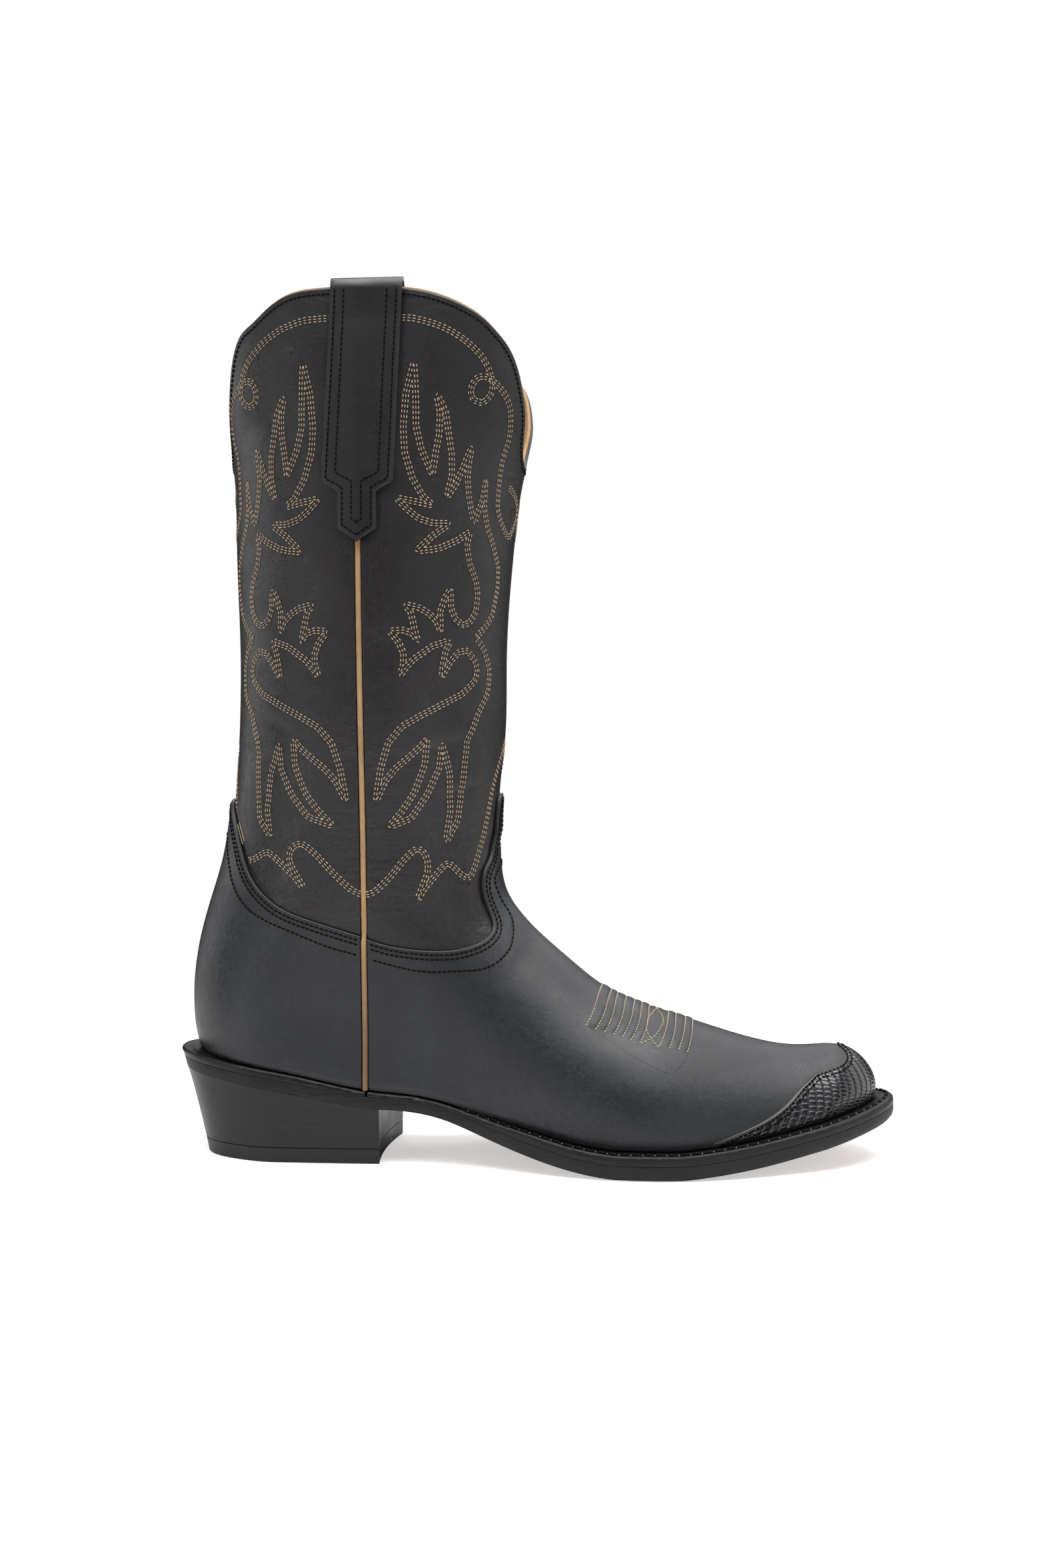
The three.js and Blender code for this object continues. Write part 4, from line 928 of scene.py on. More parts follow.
def cap_leather():
    """Glossy black lizard: the mesh gives each plate's height and number."""
    made = Finish("cap leather")
    plate = wire(made.tree, "Attribute", attribute_name="plate").outputs["Fac"]
    number = wire(made.tree, "Attribute", attribute_name="number").outputs["Fac"]
    plates, worn = made.use(PLATES, Plate=plate, Number=number), made.use(WEAR)
    colour = made.blend(plates["Shade"], (0.005, 0.006, 0.0075), (0.01, 0.0115, 0.014))
    # Painted shade: the low rims between plates, and the border by the cap's cut edge, are darkened.
    colour = made.blend(plates["Rim"], colour, (0.004, 0.004, 0.005))
    made.bump((plates["Height"], 0.00012))
    rough = made.blend(maths(made.tree, "MAXIMUM", plates["Rim"], worn["Scratch"]), 0.2, 0.5)
    coat = made.blend(plates["Rim"], 0.35, 0.0)
    return made.surface(Base_Color=colour, Roughness=rough, Coat_Weight=coat, Coat_Roughness=0.12)


def heel_leather(name, pitch, colours):
    """Stacked, edge-dressed leather or moulded rubber, with its layers just showing."""
    made = Finish(name)
    layered, worn = made.use(LAYERS, Pitch=pitch), made.use(WEAR)
    colour = made.blend(worn["Smudge"], *colours)
    colour = made.blend(layered["Seam"], colour, deeper(colours[0], 0.8))
    made.bump((layered["Height"], 0.000004))
    return made.surface(Base_Color=colour, Roughness=made.blend(worn["Smudge"], 0.34, 0.48),
                        Specular_IOR_Level=0.36, Coat_Weight=0.06, Coat_Roughness=0.3)


def pressed(name, colours, group=CRUMB, rough=(0.75, 0.9), depth=0.0002, metal=0.0, **sockets):
    """Cork, board, wood, cloth or metal: shade by crumbs, threads or drawn lines."""
    made = Finish(name)
    out, worn = made.use(group, **sockets), made.use(WEAR)
    colour = made.blend(out["Shade"], *colours)
    made.bump((out["Height"], depth))
    dull = maths(made.tree, "ADD", out["Shade"], worn["Scratch"], clamp=True)
    return made.surface(Base_Color=colour, Roughness=made.blend(dull, *rough), Metallic=metal)


PIPING_LEATHER, CAP_LEATHER = piping_leather(), cap_leather()
HEEL_LEATHER = heel_leather("heel leather", 0.0058, ((0.0045, 0.0043, 0.0047), (0.008, 0.0076, 0.0082)))
HEEL_RUBBER = heel_leather("top lift rubber", 0.02, ((0.0045, 0.0045, 0.0048), (0.0075, 0.0075, 0.008)))
CORK = pressed("cork", ((0.22, 0.12, 0.05), (0.46, 0.3, 0.15)), Cells=700.0)
BOARD = pressed("stiffener board", ((0.4, 0.3, 0.17), (0.6, 0.48, 0.3)), Cells=1500.0)
PEG_WOOD = pressed("peg wood", ((0.5, 0.36, 0.18), (0.66, 0.52, 0.3)), Cells=2500.0)
INTERLINING = pressed("interlining cloth", ((0.6, 0.55, 0.45), (0.78, 0.74, 0.64)), WEAVE)
STEEL = pressed("shank steel", ((0.4, 0.41, 0.43), (0.58, 0.59, 0.61)), METAL, (0.25, 0.45), 0.00002, 1.0)
BRASS = pressed("nail brass", ((0.5, 0.34, 0.12), (0.66, 0.48, 0.2)), METAL, (0.2, 0.4), 0.00002, 1.0)


# ---- Upper: leather panels ----
FRONT, BACK = (-1, 1), (1, 3)


def shaft_front_low(rnd):
    """The shaft's front ends this far under the vamp's edge."""
    return vamp_top(rnd) - 9


def shaft_back_low(rnd):
    """The shaft's back ends this far under the counter's edge."""
    return counter_top(rnd) - 9


def level_of(value):
    """A curve that stays at one level all round."""
    return lambda rnd: value + 0 * np.asarray(rnd, float)


SHAFT_LAYER, LINING_LAYER, VAMP_LAYER = (SHAFT_IN, SHAFT_OUT), (LINING_IN, LINING_OUT), (VAMP_IN, VAMP_OUT)
panel("shaft_front_leather", FRONT, shaft_front_low, top_level, SHAFT_LAYER, SHAFT_LEATHER,
      ["shaft_front"], (210, 190))
panel("shaft_back_leather", BACK, shaft_back_low, top_level, SHAFT_LAYER, SHAFT_LEATHER,
      ["shaft_back"], (200, 190))


def roll_to_sole(rnd, level):
    """The vamp and counter draw in a little where they turn under to the welt."""
    return -0.6 * np.exp(-((level / 2.5) ** 2))


panel("vamp_leather", FRONT, level_of(0.0), vamp_top, VAMP_LAYER, FOOT_LEATHER, ["vamp"],
      (230, 150), shape=roll_to_sole)
panel("counter_leather", BACK, level_of(0.0), counter_top, VAMP_LAYER, FOOT_LEATHER,
      ["counter"], (190, 120), shape=roll_to_sole)

LINING_COUNT = (110, 70)


def lining(name, ends, low, high, stands_for, layer=LINING_LAYER, material=LINING_LEATHER,
           margin=0.15, count=LINING_COUNT, worn=0.0):
    """A flat inner piece: lining, cloth or board."""
    panel(name, ends, low, high, layer, material, [stands_for], count, margin, worn=worn, corner=0.2)


lining("shaft_lining_front_leather", FRONT, lambda r: shaft_front_low(r) + 3.9, lambda r: top_level(r) - 7,
       "shaft_lining_front")
lining("shaft_lining_back_leather", BACK, lambda r: shaft_back_low(r) + 3.9, lambda r: top_level(r) - 7,
       "shaft_lining_back")
lining("vamp_lining_leather", FRONT, level_of(0.0), lambda r: shaft_front_low(r) + 3, "vamp_lining")
lining("counter_lining_leather", BACK, level_of(0.0), lambda r: shaft_back_low(r) + 3, "counter_lining")
TOE_BOX_END = 0.4


def toe_box_top(rnd):
    """The toe box falls from the front centre to its two ends."""
    return mix(46, 12, smooth(0, TOE_BOX_END, np.abs(rnd)))


def interlining_low(rnd):
    """The interlining starts above the toe box, and at the sole past the toe box's ends."""
    return mix(toe_box_top(rnd) + 0.9, 0.01, smooth(TOE_BOX_END + 0.01, TOE_BOX_END + 0.1, np.abs(rnd)))


lining("vamp_interlining_cloth", FRONT, interlining_low, lambda r: shaft_front_low(r) - 0.9,
       "vamp_interlining", SHAFT_LAYER, INTERLINING, PANEL_MARGIN)
lining("toe_box_board", (-TOE_BOX_END, TOE_BOX_END), level_of(0.0), toe_box_top, "toe_box",
       SHAFT_LAYER, BOARD, 0, (60, 40))
lining("heel_stiffener_board", BACK, level_of(0.0), lambda r: shaft_back_low(r) - 0.9, "heel_stiffener",
       SHAFT_LAYER, BOARD, PANEL_MARGIN)

# ---- Toe cap with its plates ----
BELT_WIDTH, PLATE_LENGTH = 3.6, 1.7
BELT_LEAN = math.radians(14)


def plates(rnd, level):
    """Leaning belts of small plates: flat coordinates turned to the lean are cut into belts, and
    each belt, stepped against the last, into plates. Returns each place's height, 0 to 1, and number."""
    u = -(84 * np.abs(rnd) + 165 * rnd**2)
    v = level * 1.12
    across = u * math.cos(BELT_LEAN) - v * math.sin(BELT_LEAN) + 0.012 * (v - 12) ** 2
    along = u * math.sin(BELT_LEAN) + v * math.cos(BELT_LEAN)
    across = across + 0.25 * np.sin(along / 4.3) + 0.12 * np.sin(along / 1.7 + 1)
    belt = np.floor(across / BELT_WIDTH)
    length = PLATE_LENGTH * (1 + 0.12 * np.sin(belt * 1.7) + 0.45 * smooth(-25, -50, u))
    along = along / length + (belt % 2) / 2 + 0.35 * np.sin(belt * 2.4)
    plate = np.floor(along)
    x, y = 2 * (along - plate) - 1, 2 * (across / BELT_WIDTH - belt) - 1
    height = (1 - 0.6 * np.abs(x) ** 5) * (1 - np.abs(y) ** 6) - 0.12 * y
    return np.clip(height, 0, 1), belt * 57 + plate


def toe_cap():
    """The cap: a panel whose outer face rises in plates, faded out at its cut edge."""
    rnd, level, way = panel_places(-0.497, 0.497, level_of(0.0), cap_top, 0, (690, 120))
    height, number = plates(rnd, level)
    inside = smooth(0.5, 2.5, way)
    offset = CAP_OUT - 0.3 + 0.3 * height * inside - cut_edge(way, 0.8)
    offset = np.where(way > 0, offset, CAP_IN) + roll_to_sole(rnd, level)
    marks = {"plate": mix(0.25, height, inside), "number": number}
    build("toe_cap_leather", skin(rnd, level, offset), grid_quads(*rnd.shape), CAP_LEATHER,
          ["toe_cap"], lay_uv(rnd, level), marks)


toe_cap()

# ---- Corded rows across the toe ----
# each row: level at the front centre, level at its end, and how far round it reaches
CORD_ROWS = np.array([
    (80.5, 63.4, 0.489), (78.1, 61.4, 0.481), (76.5, 60.1, 0.468), (74.5, 58.7, 0.456), (72.6, 57.6, 0.442),
    (71, 55.9, 0.436), (69.5, 54.5, 0.425), (65.5, 52.3, 0.393), (64, 50.9, 0.38), (62, 49.9, 0.365),
    (60.5, 48.2, 0.359),
])
CORD_HEIGHT = 0.5
RIBBON_ROW = 6  # the flat ribbon lies below this row
CORD_BOW = 2.15


def cord_level(row, rnd):
    """Level of a stitched row: it falls from the centre faster and faster towards its end."""
    top, end, reach = CORD_ROWS[row]
    return top + (end - top) * (np.abs(rnd) / reach) ** CORD_BOW


def cord_relief(rnd, level):
    """Height of the cords: a half-round ridge between each row of stitching and the next."""
    height = np.zeros(rnd.shape)
    for row in range(len(CORD_ROWS) - 1):
        if row == RIBBON_ROW:
            continue
        high, low = cord_level(row, rnd), cord_level(row + 1, rnd)
        share = np.clip((high - level) / (high - low), 0, 1)
        reach = min(CORD_ROWS[row][2], CORD_ROWS[row + 1][2])
        fade = smooth(reach + 0.005, reach - 0.03, np.abs(rnd))
        height += CORD_HEIGHT * fade * np.sqrt(np.maximum(0, 4 * share * (1 - share)))
    return height


def corded_patch():
    """The vamp's corded field, raised through the vamp's face and sunk below it at its border."""
    columns = np.linspace(-0.5, 0.5, 301)
    rows = np.linspace(0, 1, 150)
    rnd = np.repeat(columns[:, None], len(rows), 1)
    last = len(CORD_ROWS) - 1
    reach = np.minimum(np.abs(rnd), 0.5)
    level = mix(cord_level(last, reach) - 1.6, cord_level(0, reach) + 1.6, rows[None])
    border = np.minimum(smooth(0, 0.05, rows), smooth(1, 0.95, rows))[None] * smooth(0.5, 0.48, np.abs(rnd))
    outer = skin(rnd, level, VAMP_OUT - 0.5 + 0.53 * border + cord_relief(rnd, level) + relief(rnd, level))
    inner = skin(rnd, level, VAMP_OUT - 0.9 + relief(rnd, level))
    points = np.concatenate([outer.reshape(-1, 3), inner.reshape(-1, 3)])
    uv = np.concatenate([lay_uv(rnd, level).reshape(-1, 2)] * 2)
    build("corded_toe_rows", points, shell_quads(*rnd.shape), FOOT_LEATHER, [], uv)


corded_patch()

# ---- Trim: piping, top edging, pull straps ----
def piping(side):
    """A tan bead down a side seam: an oval carried along the seam, standing further out over the foot."""
    level = np.concatenate([np.linspace(0, COLLAR_LEVEL - 2, 110),
                            np.linspace(COLLAR_LEVEL - 1.5, COLLAR_LEVEL + 1.5, 6),
                            np.linspace(COLLAR_LEVEL + 2, TOP_LEVEL - 0.2, 240)])
    rnd = np.full(len(level), float(side))
    _, out = surface(rnd, level)
    over_foot = smooth(COLLAR_LEVEL + 2, COLLAR_LEVEL - 2, level)
    centre = skin(rnd, level, -0.35 + 1.75 * over_foot + relief(rnd, level))
    run = unit(np.gradient(centre, axis=0))
    across = np.cross(out, run)
    turn = np.arange(12) * 2 * np.pi / 12
    wave = 1 + 0.03 * np.sin(level[:, None] * 0.9) * np.sin(level[:, None] * 0.23)
    sideways = across[:, None] * (PIPING_HALF * np.cos(turn))[None, :, None] * wave[..., None]
    points = centre[:, None] + sideways + out[:, None] * (1.25 * np.sin(turn))[None, :, None]
    name = "outer" if side < 0 else "inner"
    carried("side_piping_%s_bead" % name, points, PIPING_LEATHER, ["side_piping_" + name])


for seam_side in (-1, 1):
    piping(seam_side)


def top_edging():
    """The folded edging: a flat strip inside the shaft with a rounded bead over its top line."""
    rnd = np.linspace(-2, 2, 721)[:-1]
    top = top_level(rnd)
    turn = np.linspace(0, np.pi, 9)
    middle, half = (LINING_IN + LINING_OUT) / 2, 0.75
    profile = [(LINING_OUT, -6.1), (LINING_OUT, -1.0)]
    profile += [(middle + half * math.cos(t), 0.3 + 0.55 * math.sin(t)) for t in turn]
    profile += [(LINING_IN, -1.0), (LINING_IN, -6.1)]
    points = np.stack([skin(rnd, top + rise, offset + 0 * rnd) for offset, rise in profile], 1)
    carried("top_edging_leather", points[:, ::-1], EDGING_LEATHER,
            ["top_edging_front", "top_edging_back"], closed=True)


top_edging()
STRAP_HALF, NECK_HALF = 14.75, 8.0
STRAP_LENGTH, STRAP_INNER_LENGTH = 102.5, 58
STRAP_LEAN = 4.0
STRAP_SHOULDER = 77.5


def strap_half(down):
    """Half-width of the strap by the way down it: broad, then a neck, then a point."""
    neck = mix(STRAP_HALF, NECK_HALF, smooth(STRAP_SHOULDER, STRAP_SHOULDER + 5, down))
    point = np.clip((STRAP_LENGTH - down) / 5.5, 0.04, 1)
    return np.where(down > STRAP_LENGTH - 5.5, NECK_HALF * point, neck)


def strap_lean(down):
    """How far the strap leans: all at the top line, none at its shoulder."""
    return STRAP_LEAN * np.clip(1 - down / STRAP_SHOULDER, 0, 1)


def strap_place(side, across, down, offset):
    """A point on the strap's outer leg, by mm across it and mm down from the top line."""
    level = TOP_LEVEL - down
    width = mm_per_round(side + 0 * level, np.minimum(level, TOP_LEVEL))
    return side + (across + strap_lean(down)) * -side / width, level, offset


def strap_bulge(across, down):
    """The strap rides up over the seam's bead."""
    return 0.5 * np.exp(-(((across + strap_lean(down)) / 5) ** 2))


def pull_strap(side):
    """A pull strap: its section, two faces with rounded edges, runs up the outside to the top
    line, over it in an arch, and down the inside."""
    edge = np.array([0.86, 0.94, 0.985, 1])
    across = np.concatenate([-edge[::-1], np.linspace(-0.78, 0.78, 25), edge])
    down = np.concatenate([STRAP_LENGTH - np.array([0, 0.3, 0.8, 1.6, 2.8, 4.2, 5.5]),
                           np.linspace(STRAP_LENGTH - 7, STRAP_SHOULDER + 5, 12),
                           STRAP_SHOULDER + np.array([4, 3, 2, 1, 0]),
                           np.linspace(STRAP_SHOULDER - 2, 0, 46)])
    thick = STRAP_LEATHER * np.sqrt(np.clip(1 - np.abs(across) ** 9, 0.05, 1))
    faces = []
    for outer in (True, False):
        rows = []
        for d in down:
            x = across * strap_half(d)
            base = 0.45 + strap_bulge(x, d) + relief(side + 0 * x, TOP_LEVEL - d + 0 * x)
            lift = 2.1 * smooth(14, 0, d)
            offset = base + lift * 0.35 + (STRAP_LEATHER / 2) + (thick / 2 if outer else -thick / 2)
            rnd, level, offset = strap_place(side, x, d + 0 * x, offset)
            rows.append(skin(rnd, level, offset))
        middle, radius = -1.05, 2.35
        for turn in np.radians(np.linspace(15, 165, 11)):
            x = across * STRAP_HALF
            grow = radius + (thick / 2 if outer else -thick / 2)
            offset = middle + np.cos(turn) * grow + 0 * x
            rise = 1.0 + np.sin(turn) * (0.9 if not outer else 2.5)
            rnd, level, offset = strap_place(side, x, -rise + 0 * x, offset)
            rows.append(skin(rnd, level, offset))
        for d in np.linspace(0, STRAP_INNER_LENGTH, 24):
            x = across * STRAP_HALF
            offset = STRAP_INSIDE - STRAP_LEATHER / 2 + (-thick / 2 if outer else thick / 2)
            rnd, level, offset = strap_place(side, x, d + 0 * x, offset)
            rows.append(skin(rnd, level, offset))
        faces.append(np.stack(rows))
    outer_face, inner_face = faces
    points = np.concatenate([outer_face, inner_face[:, ::-1]], 1)
    if side < 0:
        points = points[:, ::-1]
    name = "outer" if side < 0 else "inner"
    carried("pull_strap_%s_leather" % name, points, STRAP_LOOK, ["pull_strap_" + name])


for seam_side in (-1, 1):
    pull_strap(seam_side)

# ---- Bottom: sole, welt, rand, heel ----
sole_edge = spline(SOLE_EDGE)
PLAN_ROUNDS = np.linspace(-2, 2, 481)[:-1]


def plan_edge(rnd, inset):
    """The sole's plan: the upper's lower edge moved out by the sole's margin, less an inset."""
    here = skin(rnd, 0.0, 0.0)
    run = skin(rnd + 0.02, 0.0, 0.0) - skin(rnd - 0.02, 0.0, 0.0)
    length = np.hypot(run[..., 0], run[..., 1])
    away = (sole_edge(here[..., 0]) - inset) / length
    return here[..., 0] + run[..., 1] * away, here[..., 1] - run[..., 0] * away


def flat_ring(rnd, inset, height, share=0.0):
    """A ring of the plan at a height function of x; share draws it in to the middle line."""
    x, y = plan_edge(rnd, inset)
    x, y = mix(x, np.clip(x, 22, 282), share), mix(y, inflare(x), share)
    return np.stack([x, y, height(x)], -1)


def carried_ring(name, rings, material, stands_for, marks):
    """Rings joined into a closed skin, from the underside's middle round to the top's middle."""
    points = np.stack(rings, 1)
    marks = {key: np.tile(values, len(points)) for key, values in marks.items()}
    build(name, points, grid_quads(*points.shape[:2], True, True), material, stands_for, marks=marks)


def seat_proud(rnd):
    """How far the rand stands out past the heel's seat, most at the very back."""
    return 2.2 * (1 - smooth(8, 50, skin(rnd, 0.0, 0.0)[:, 0]))


def toe_rounding(rnd):
    """Extra rounding of the sole's and welt's edges round the toe."""
    return 1.3 * smooth(245, 300, skin(rnd, 0.0, 0.0)[:, 0])


def outsole():
    """The outsole: plan rings from the underside's middle out round its edge to the top's middle."""
    quarter = np.radians([0, 30, 60, 90])
    radius = 1.7 + toe_rounding(PLAN_ROUNDS)
    rings, dressed = [], []
    for share in (1.0, 0.66, 0.33):
        rings.append(flat_ring(PLAN_ROUNDS, 9, sole_bottom, share))
        dressed.append(0)
    for inset, mark in ((9, 0), (4.2, 0), (3.8, 0.15), (3.4, 0), (2.4, 0.8)):
        sink = 0.35 if inset == 3.8 else 0.0
        rings.append(flat_ring(PLAN_ROUNDS, inset, lambda x, s=sink: sole_bottom(x) + s))
        dressed.append(mark)
    under_heel = 1 - smooth(BREAST_X - 2, BREAST_X + 6, skin(PLAN_ROUNDS, 0.0, 0.0)[:, 0])
    for turn in quarter:
        inset, rise = radius * (1 - math.sin(turn)), radius * (1 - math.cos(turn))
        rings.append(flat_ring(PLAN_ROUNDS, inset * (1 - 0.9 * under_heel),
                               lambda x, s=rise: sole_bottom(x) + s * np.where(x < BREAST_X, 0.1, 1)))
        dressed.append(1)
    for turn in quarter[::-1]:
        inset, drop = 0.2 * (1 - math.sin(turn)), 0.2 * (1 - math.cos(turn))
        rings.append(flat_ring(PLAN_ROUNDS, inset - 0.55 * seat_proud(PLAN_ROUNDS),
                               lambda x, s=drop: sole_top(x) - s))
        dressed.append(1)
    for share in (0.0, 0.5, 1.0):
        rings.append(flat_ring(PLAN_ROUNDS, 14, sole_top, share))
        dressed.append(0)
    carried_ring("leather_outsole", rings, SOLE_LEATHER, ["outsole"],
                 {"dressed": dressed})


outsole()


BAND_INNER = 16.0


def edge_band(name, rnd, proud, thickness, stands_for):
    """Welt or rand: a band round the sole's edge with rounded outer corners; its ends close."""
    quarter = np.radians([0, 30, 60, 90])
    radius = 1.3 + toe_rounding(rnd)

    def under(x, s=0.0):
        return sole_top(x) + GAP * 0.3 + s

    def over(x, s=0.0):
        return sole_top(x) + GAP + thickness(x) - s

    rings = [flat_ring(rnd, BAND_INNER, under), flat_ring(rnd, 4 + 0 * rnd, under)]
    for turn in quarter:
        rings.append(flat_ring(rnd, 0.2 * (1 - math.sin(turn)) - 0.6 * proud,
                               lambda x, s=0.2 * (1 - math.cos(turn)): under(x, s)))
    for turn in quarter[::-1]:
        rings.append(flat_ring(rnd, radius * (1 - math.sin(turn)) - proud,
                               lambda x, s=radius * (1 - math.cos(turn)): over(x, s)))
    for inset, drop in ((2.1, 0.0), (2.5, 0.15), (3.4, 0.15), (3.9, 0.0), (BAND_INNER, 0.0)):
        rings.append(flat_ring(rnd, inset, lambda x, s=drop: over(x, s)))
    carried(name, np.stack(rings, 1), WELT_LEATHER, stands_for)


WELT_ROUNDS = np.linspace(-0.995, 0.995, 361)
edge_band("welt_strip", WELT_ROUNDS, 0.0, welt_thickness, ["welt"])
RAND_ROUNDS = np.linspace(1.0, 3.0, 201)
edge_band("heel_rand_strip", RAND_ROUNDS, seat_proud(RAND_ROUNDS), rand_thickness, ["heel_rand"])

heel_back = float(plan_edge(np.array([2.0]), 0.0)[0][0])
heel_rake = BREAST_X - HEEL_BASE_LENGTH - heel_back
HEEL_TAPER = 0.05


def heel_place(rnd, share_height):
    """The heel's side: the sole's plan drawn forward and narrowed as it goes down."""
    x, y = plan_edge(rnd, 0.0)
    height = share_height(x)
    drop = np.clip(1 - height / sole_bottom(x), 0, 1) ** 0.85
    return x + heel_rake * drop * (BREAST_X - x) / (BREAST_X - heel_back), y * (1 - HEEL_TAPER * drop)


def heel_slice(name, floor, roof, material, stands_for, corner=0.35):
    """A lift: rings of the heel's plan, closed across the breast, between a floor and a roof."""
    rounds = np.linspace(0.4, 2, 400)
    front = rounds[np.argmin(np.abs(plan_edge(rounds, 0.0)[0] - BREAST_X))]
    rnd = np.linspace(front, 4 - front, 150)
    breast = np.linspace(0, 1, 26)[1:-1]

    def ring(level, inset, share):
        x, y = heel_place(rnd, level)
        bow = 2.2 * 4 * breast * (1 - breast)
        x = np.concatenate([x, mix(x[-1], x[0], breast) - bow])
        y = np.concatenate([y, mix(y[-1], y[0], breast)])
        middle = np.array([52.0, 0.0])
        away = np.hypot(x - middle[0], y)
        keep = (1 - inset / away) * (1 - share)
        x, y = middle[0] + (x - middle[0]) * keep, y * keep
        return np.stack([x, y, level(x)], -1)

    quarter = np.radians([0, 45, 90] if corner else [90])
    rings = [ring(floor, 0, share) for share in (0.98, 0.5)]
    rings += [ring(lambda x, t=t: floor(x) + corner * (1 - math.cos(t)), corner * (1 - math.sin(t)), 0)
              for t in quarter]
    rings += [ring(lambda x, s=s: mix(floor(x), roof(x), s), 0, 0) for s in (0.3, 0.5, 0.7)]
    rings += [ring(lambda x, t=t: roof(x) - corner * (1 - math.cos(t)), corner * (1 - math.sin(t)), 0)
              for t in quarter[::-1]]
    rings += [ring(roof, 0, share) for share in (0.5, 0.98)]
    points = np.stack(rings, 1)
    build(name, points, grid_quads(*points.shape[:2], True, True), material, stands_for)


def lift_level(index):
    """Height of the seam under a lift: an even share of the way up to the sole."""
    return lambda x: TOP_LIFT + GAP + (sole_bottom(x) - TOP_LIFT - GAP) * index / LIFTS


heel_slice("rubber_top_lift", lambda x: 0.0 * x, lambda x: TOP_LIFT + 0.0 * x, HEEL_RUBBER,
           ["heel_top_lift"], 0)
for index in range(LIFTS):
    heel_slice("stacked_lift_%d" % (index + 1), lift_level(index),
               lambda x, k=index: lift_level(k + 1)(x) - 0.02,
               HEEL_LEATHER, ["heel_lift_%d" % (index + 1)], 0)

# ---- Stitching ----
# The drawn pattern on the outer side's front half of the shaft, in (round, level)
FLAME = [
    (-0.797, 331.1), (-0.819, 319), (-0.819, 306.3), (-0.805, 295.8), (-0.765, 285.2),
    (-0.714, 278), (-0.669, 274.9), (-0.831, 277.3), (-0.781, 272.6), (-0.732, 269.3),
    (-0.667, 267.7), (-0.581, 268.1), (-0.662, 262.8), (-0.741, 256), (-0.663, 257), (-0.621, 258),
    (-0.542, 261.3), (-0.469, 265.5), (-0.485, 259.5), (-0.464, 252), (-0.419, 245.4),
    (-0.402, 240), (-0.41, 232.5), (-0.448, 227.8), (-0.489, 226.5), (-0.534, 228.9),
    (-0.561, 233.6), (-0.565, 241.5), (-0.595, 237.4), (-0.618, 231.5), (-0.612, 223),
    (-0.634, 227.5), (-0.672, 230.6), (-0.724, 233), (-0.794, 234.3), (-0.761, 231),
    (-0.745, 224.7), (-0.726, 218.5), (-0.751, 222.2), (-0.795, 223.5), (-0.859, 223.1),
    (-0.816, 218.2), (-0.795, 213.9), (-0.796, 208.9), (-0.815, 204), (-0.783, 208),
    (-0.748, 211.4), (-0.656, 217.1), (-0.557, 220), (-0.586, 214.9), (-0.599, 209.2),
    (-0.607, 203.9), (-0.566, 209.9), (-0.514, 215), (-0.456, 216), (-0.4, 211.5), (-0.384, 207.5),
    (-0.398, 203.5), (-0.484, 197.3), (-0.592, 193), (-0.714, 187.6), (-0.806, 182.8),
    (-0.872, 175.6), (-0.908, 164.5), (-0.932, 150.3), (-0.886, 159.3), (-0.834, 164.9),
    (-0.772, 169.5), (-0.72, 173.6), (-0.68, 177.7), (-0.688, 166.6), (-0.74, 154.4),
    (-0.802, 146.5), (-0.873, 139.3), (-0.758, 143.2), (-0.674, 153.1), (-0.611, 164.6),
    (-0.598, 175.7), (-0.547, 162.5), (-0.537, 146), (-0.564, 133.5), (-0.488, 142.1),
    (-0.462, 158.5), (-0.446, 177), (-0.371, 189.5), (-0.295, 198.6), (-0.284, 208), (-0.329, 216),
    (-0.399, 221.9), (-0.335, 226.5), (-0.278, 232), (-0.241, 244), (-0.246, 252.5),
    (-0.301, 260.5), (-0.363, 268.9), (-0.386, 275.5), (-0.394, 288), (-0.405, 279), (-0.448, 269),
    (-0.485, 278.5), (-0.507, 287.4), (-0.507, 299.9), (-0.537, 290.4), (-0.566, 284),
    (-0.605, 278.5), (-0.587, 287.5), (-0.598, 296), (-0.657, 312.4), (-0.704, 319.4),
    (-0.68, 312.2), (-0.668, 303.4), (-0.678, 287.2), (-0.736, 297.1), (-0.769, 306.5),
    (-0.797, 331.1),
]
SCROLL = [
    (-0.97, 349.6), (-0.856, 349.1), (-0.795, 348.5), (-0.702, 345.6), (-0.624, 341.6), (-0.546, 335.9),
    (-0.502, 330.8), (-0.477, 326.6), (-0.417, 322.9), (-0.359, 317.5), (-0.332, 312.5),
    (-0.304, 305), (-0.307, 296.5), (-0.298, 286), (-0.286, 276.5), (-0.228, 270), (-0.155, 266.5),
    (-0.099, 269), (-0.038, 277), (-0.103, 283.3), (-0.209, 286.5),
]
SCROLL_LOOP = [
    (-0.477, 326.6), (-0.472, 321.4), (-0.505, 317.4), (-0.551, 318.5), (-0.566, 322),
    (-0.549, 326.3), (-0.515, 327.5), (-0.477, 326.6),
]
FRAME = [
    (-1.013, 110.7), (-0.952, 112.6), (-0.871, 119.4), (-0.798, 126.5), (-0.731, 130.9),
    (-0.684, 128.6), (-0.678, 122.2), (-0.749, 111.5), (-0.708, 115.5), (-0.669, 118.5),
    (-0.58, 124.9), (-0.537, 125.5), (-0.463, 121.5), (-0.402, 121.5), (-0.318, 130),
    (-0.247, 142), (-0.179, 156.5), (-0.085, 169), (-0.002, 177.9),
]
PATTERN_ROWS = (-1.1, 0.0, 1.1)


def to_quarter(curve, side, back):
    """The outer front quarter's curve taken to another quarter of the shaft."""
    rnd, level = curve[:, 0], curve[:, 1]
    if back:
        rnd = -2 - rnd
    return np.stack([rnd * -side, level], 1)


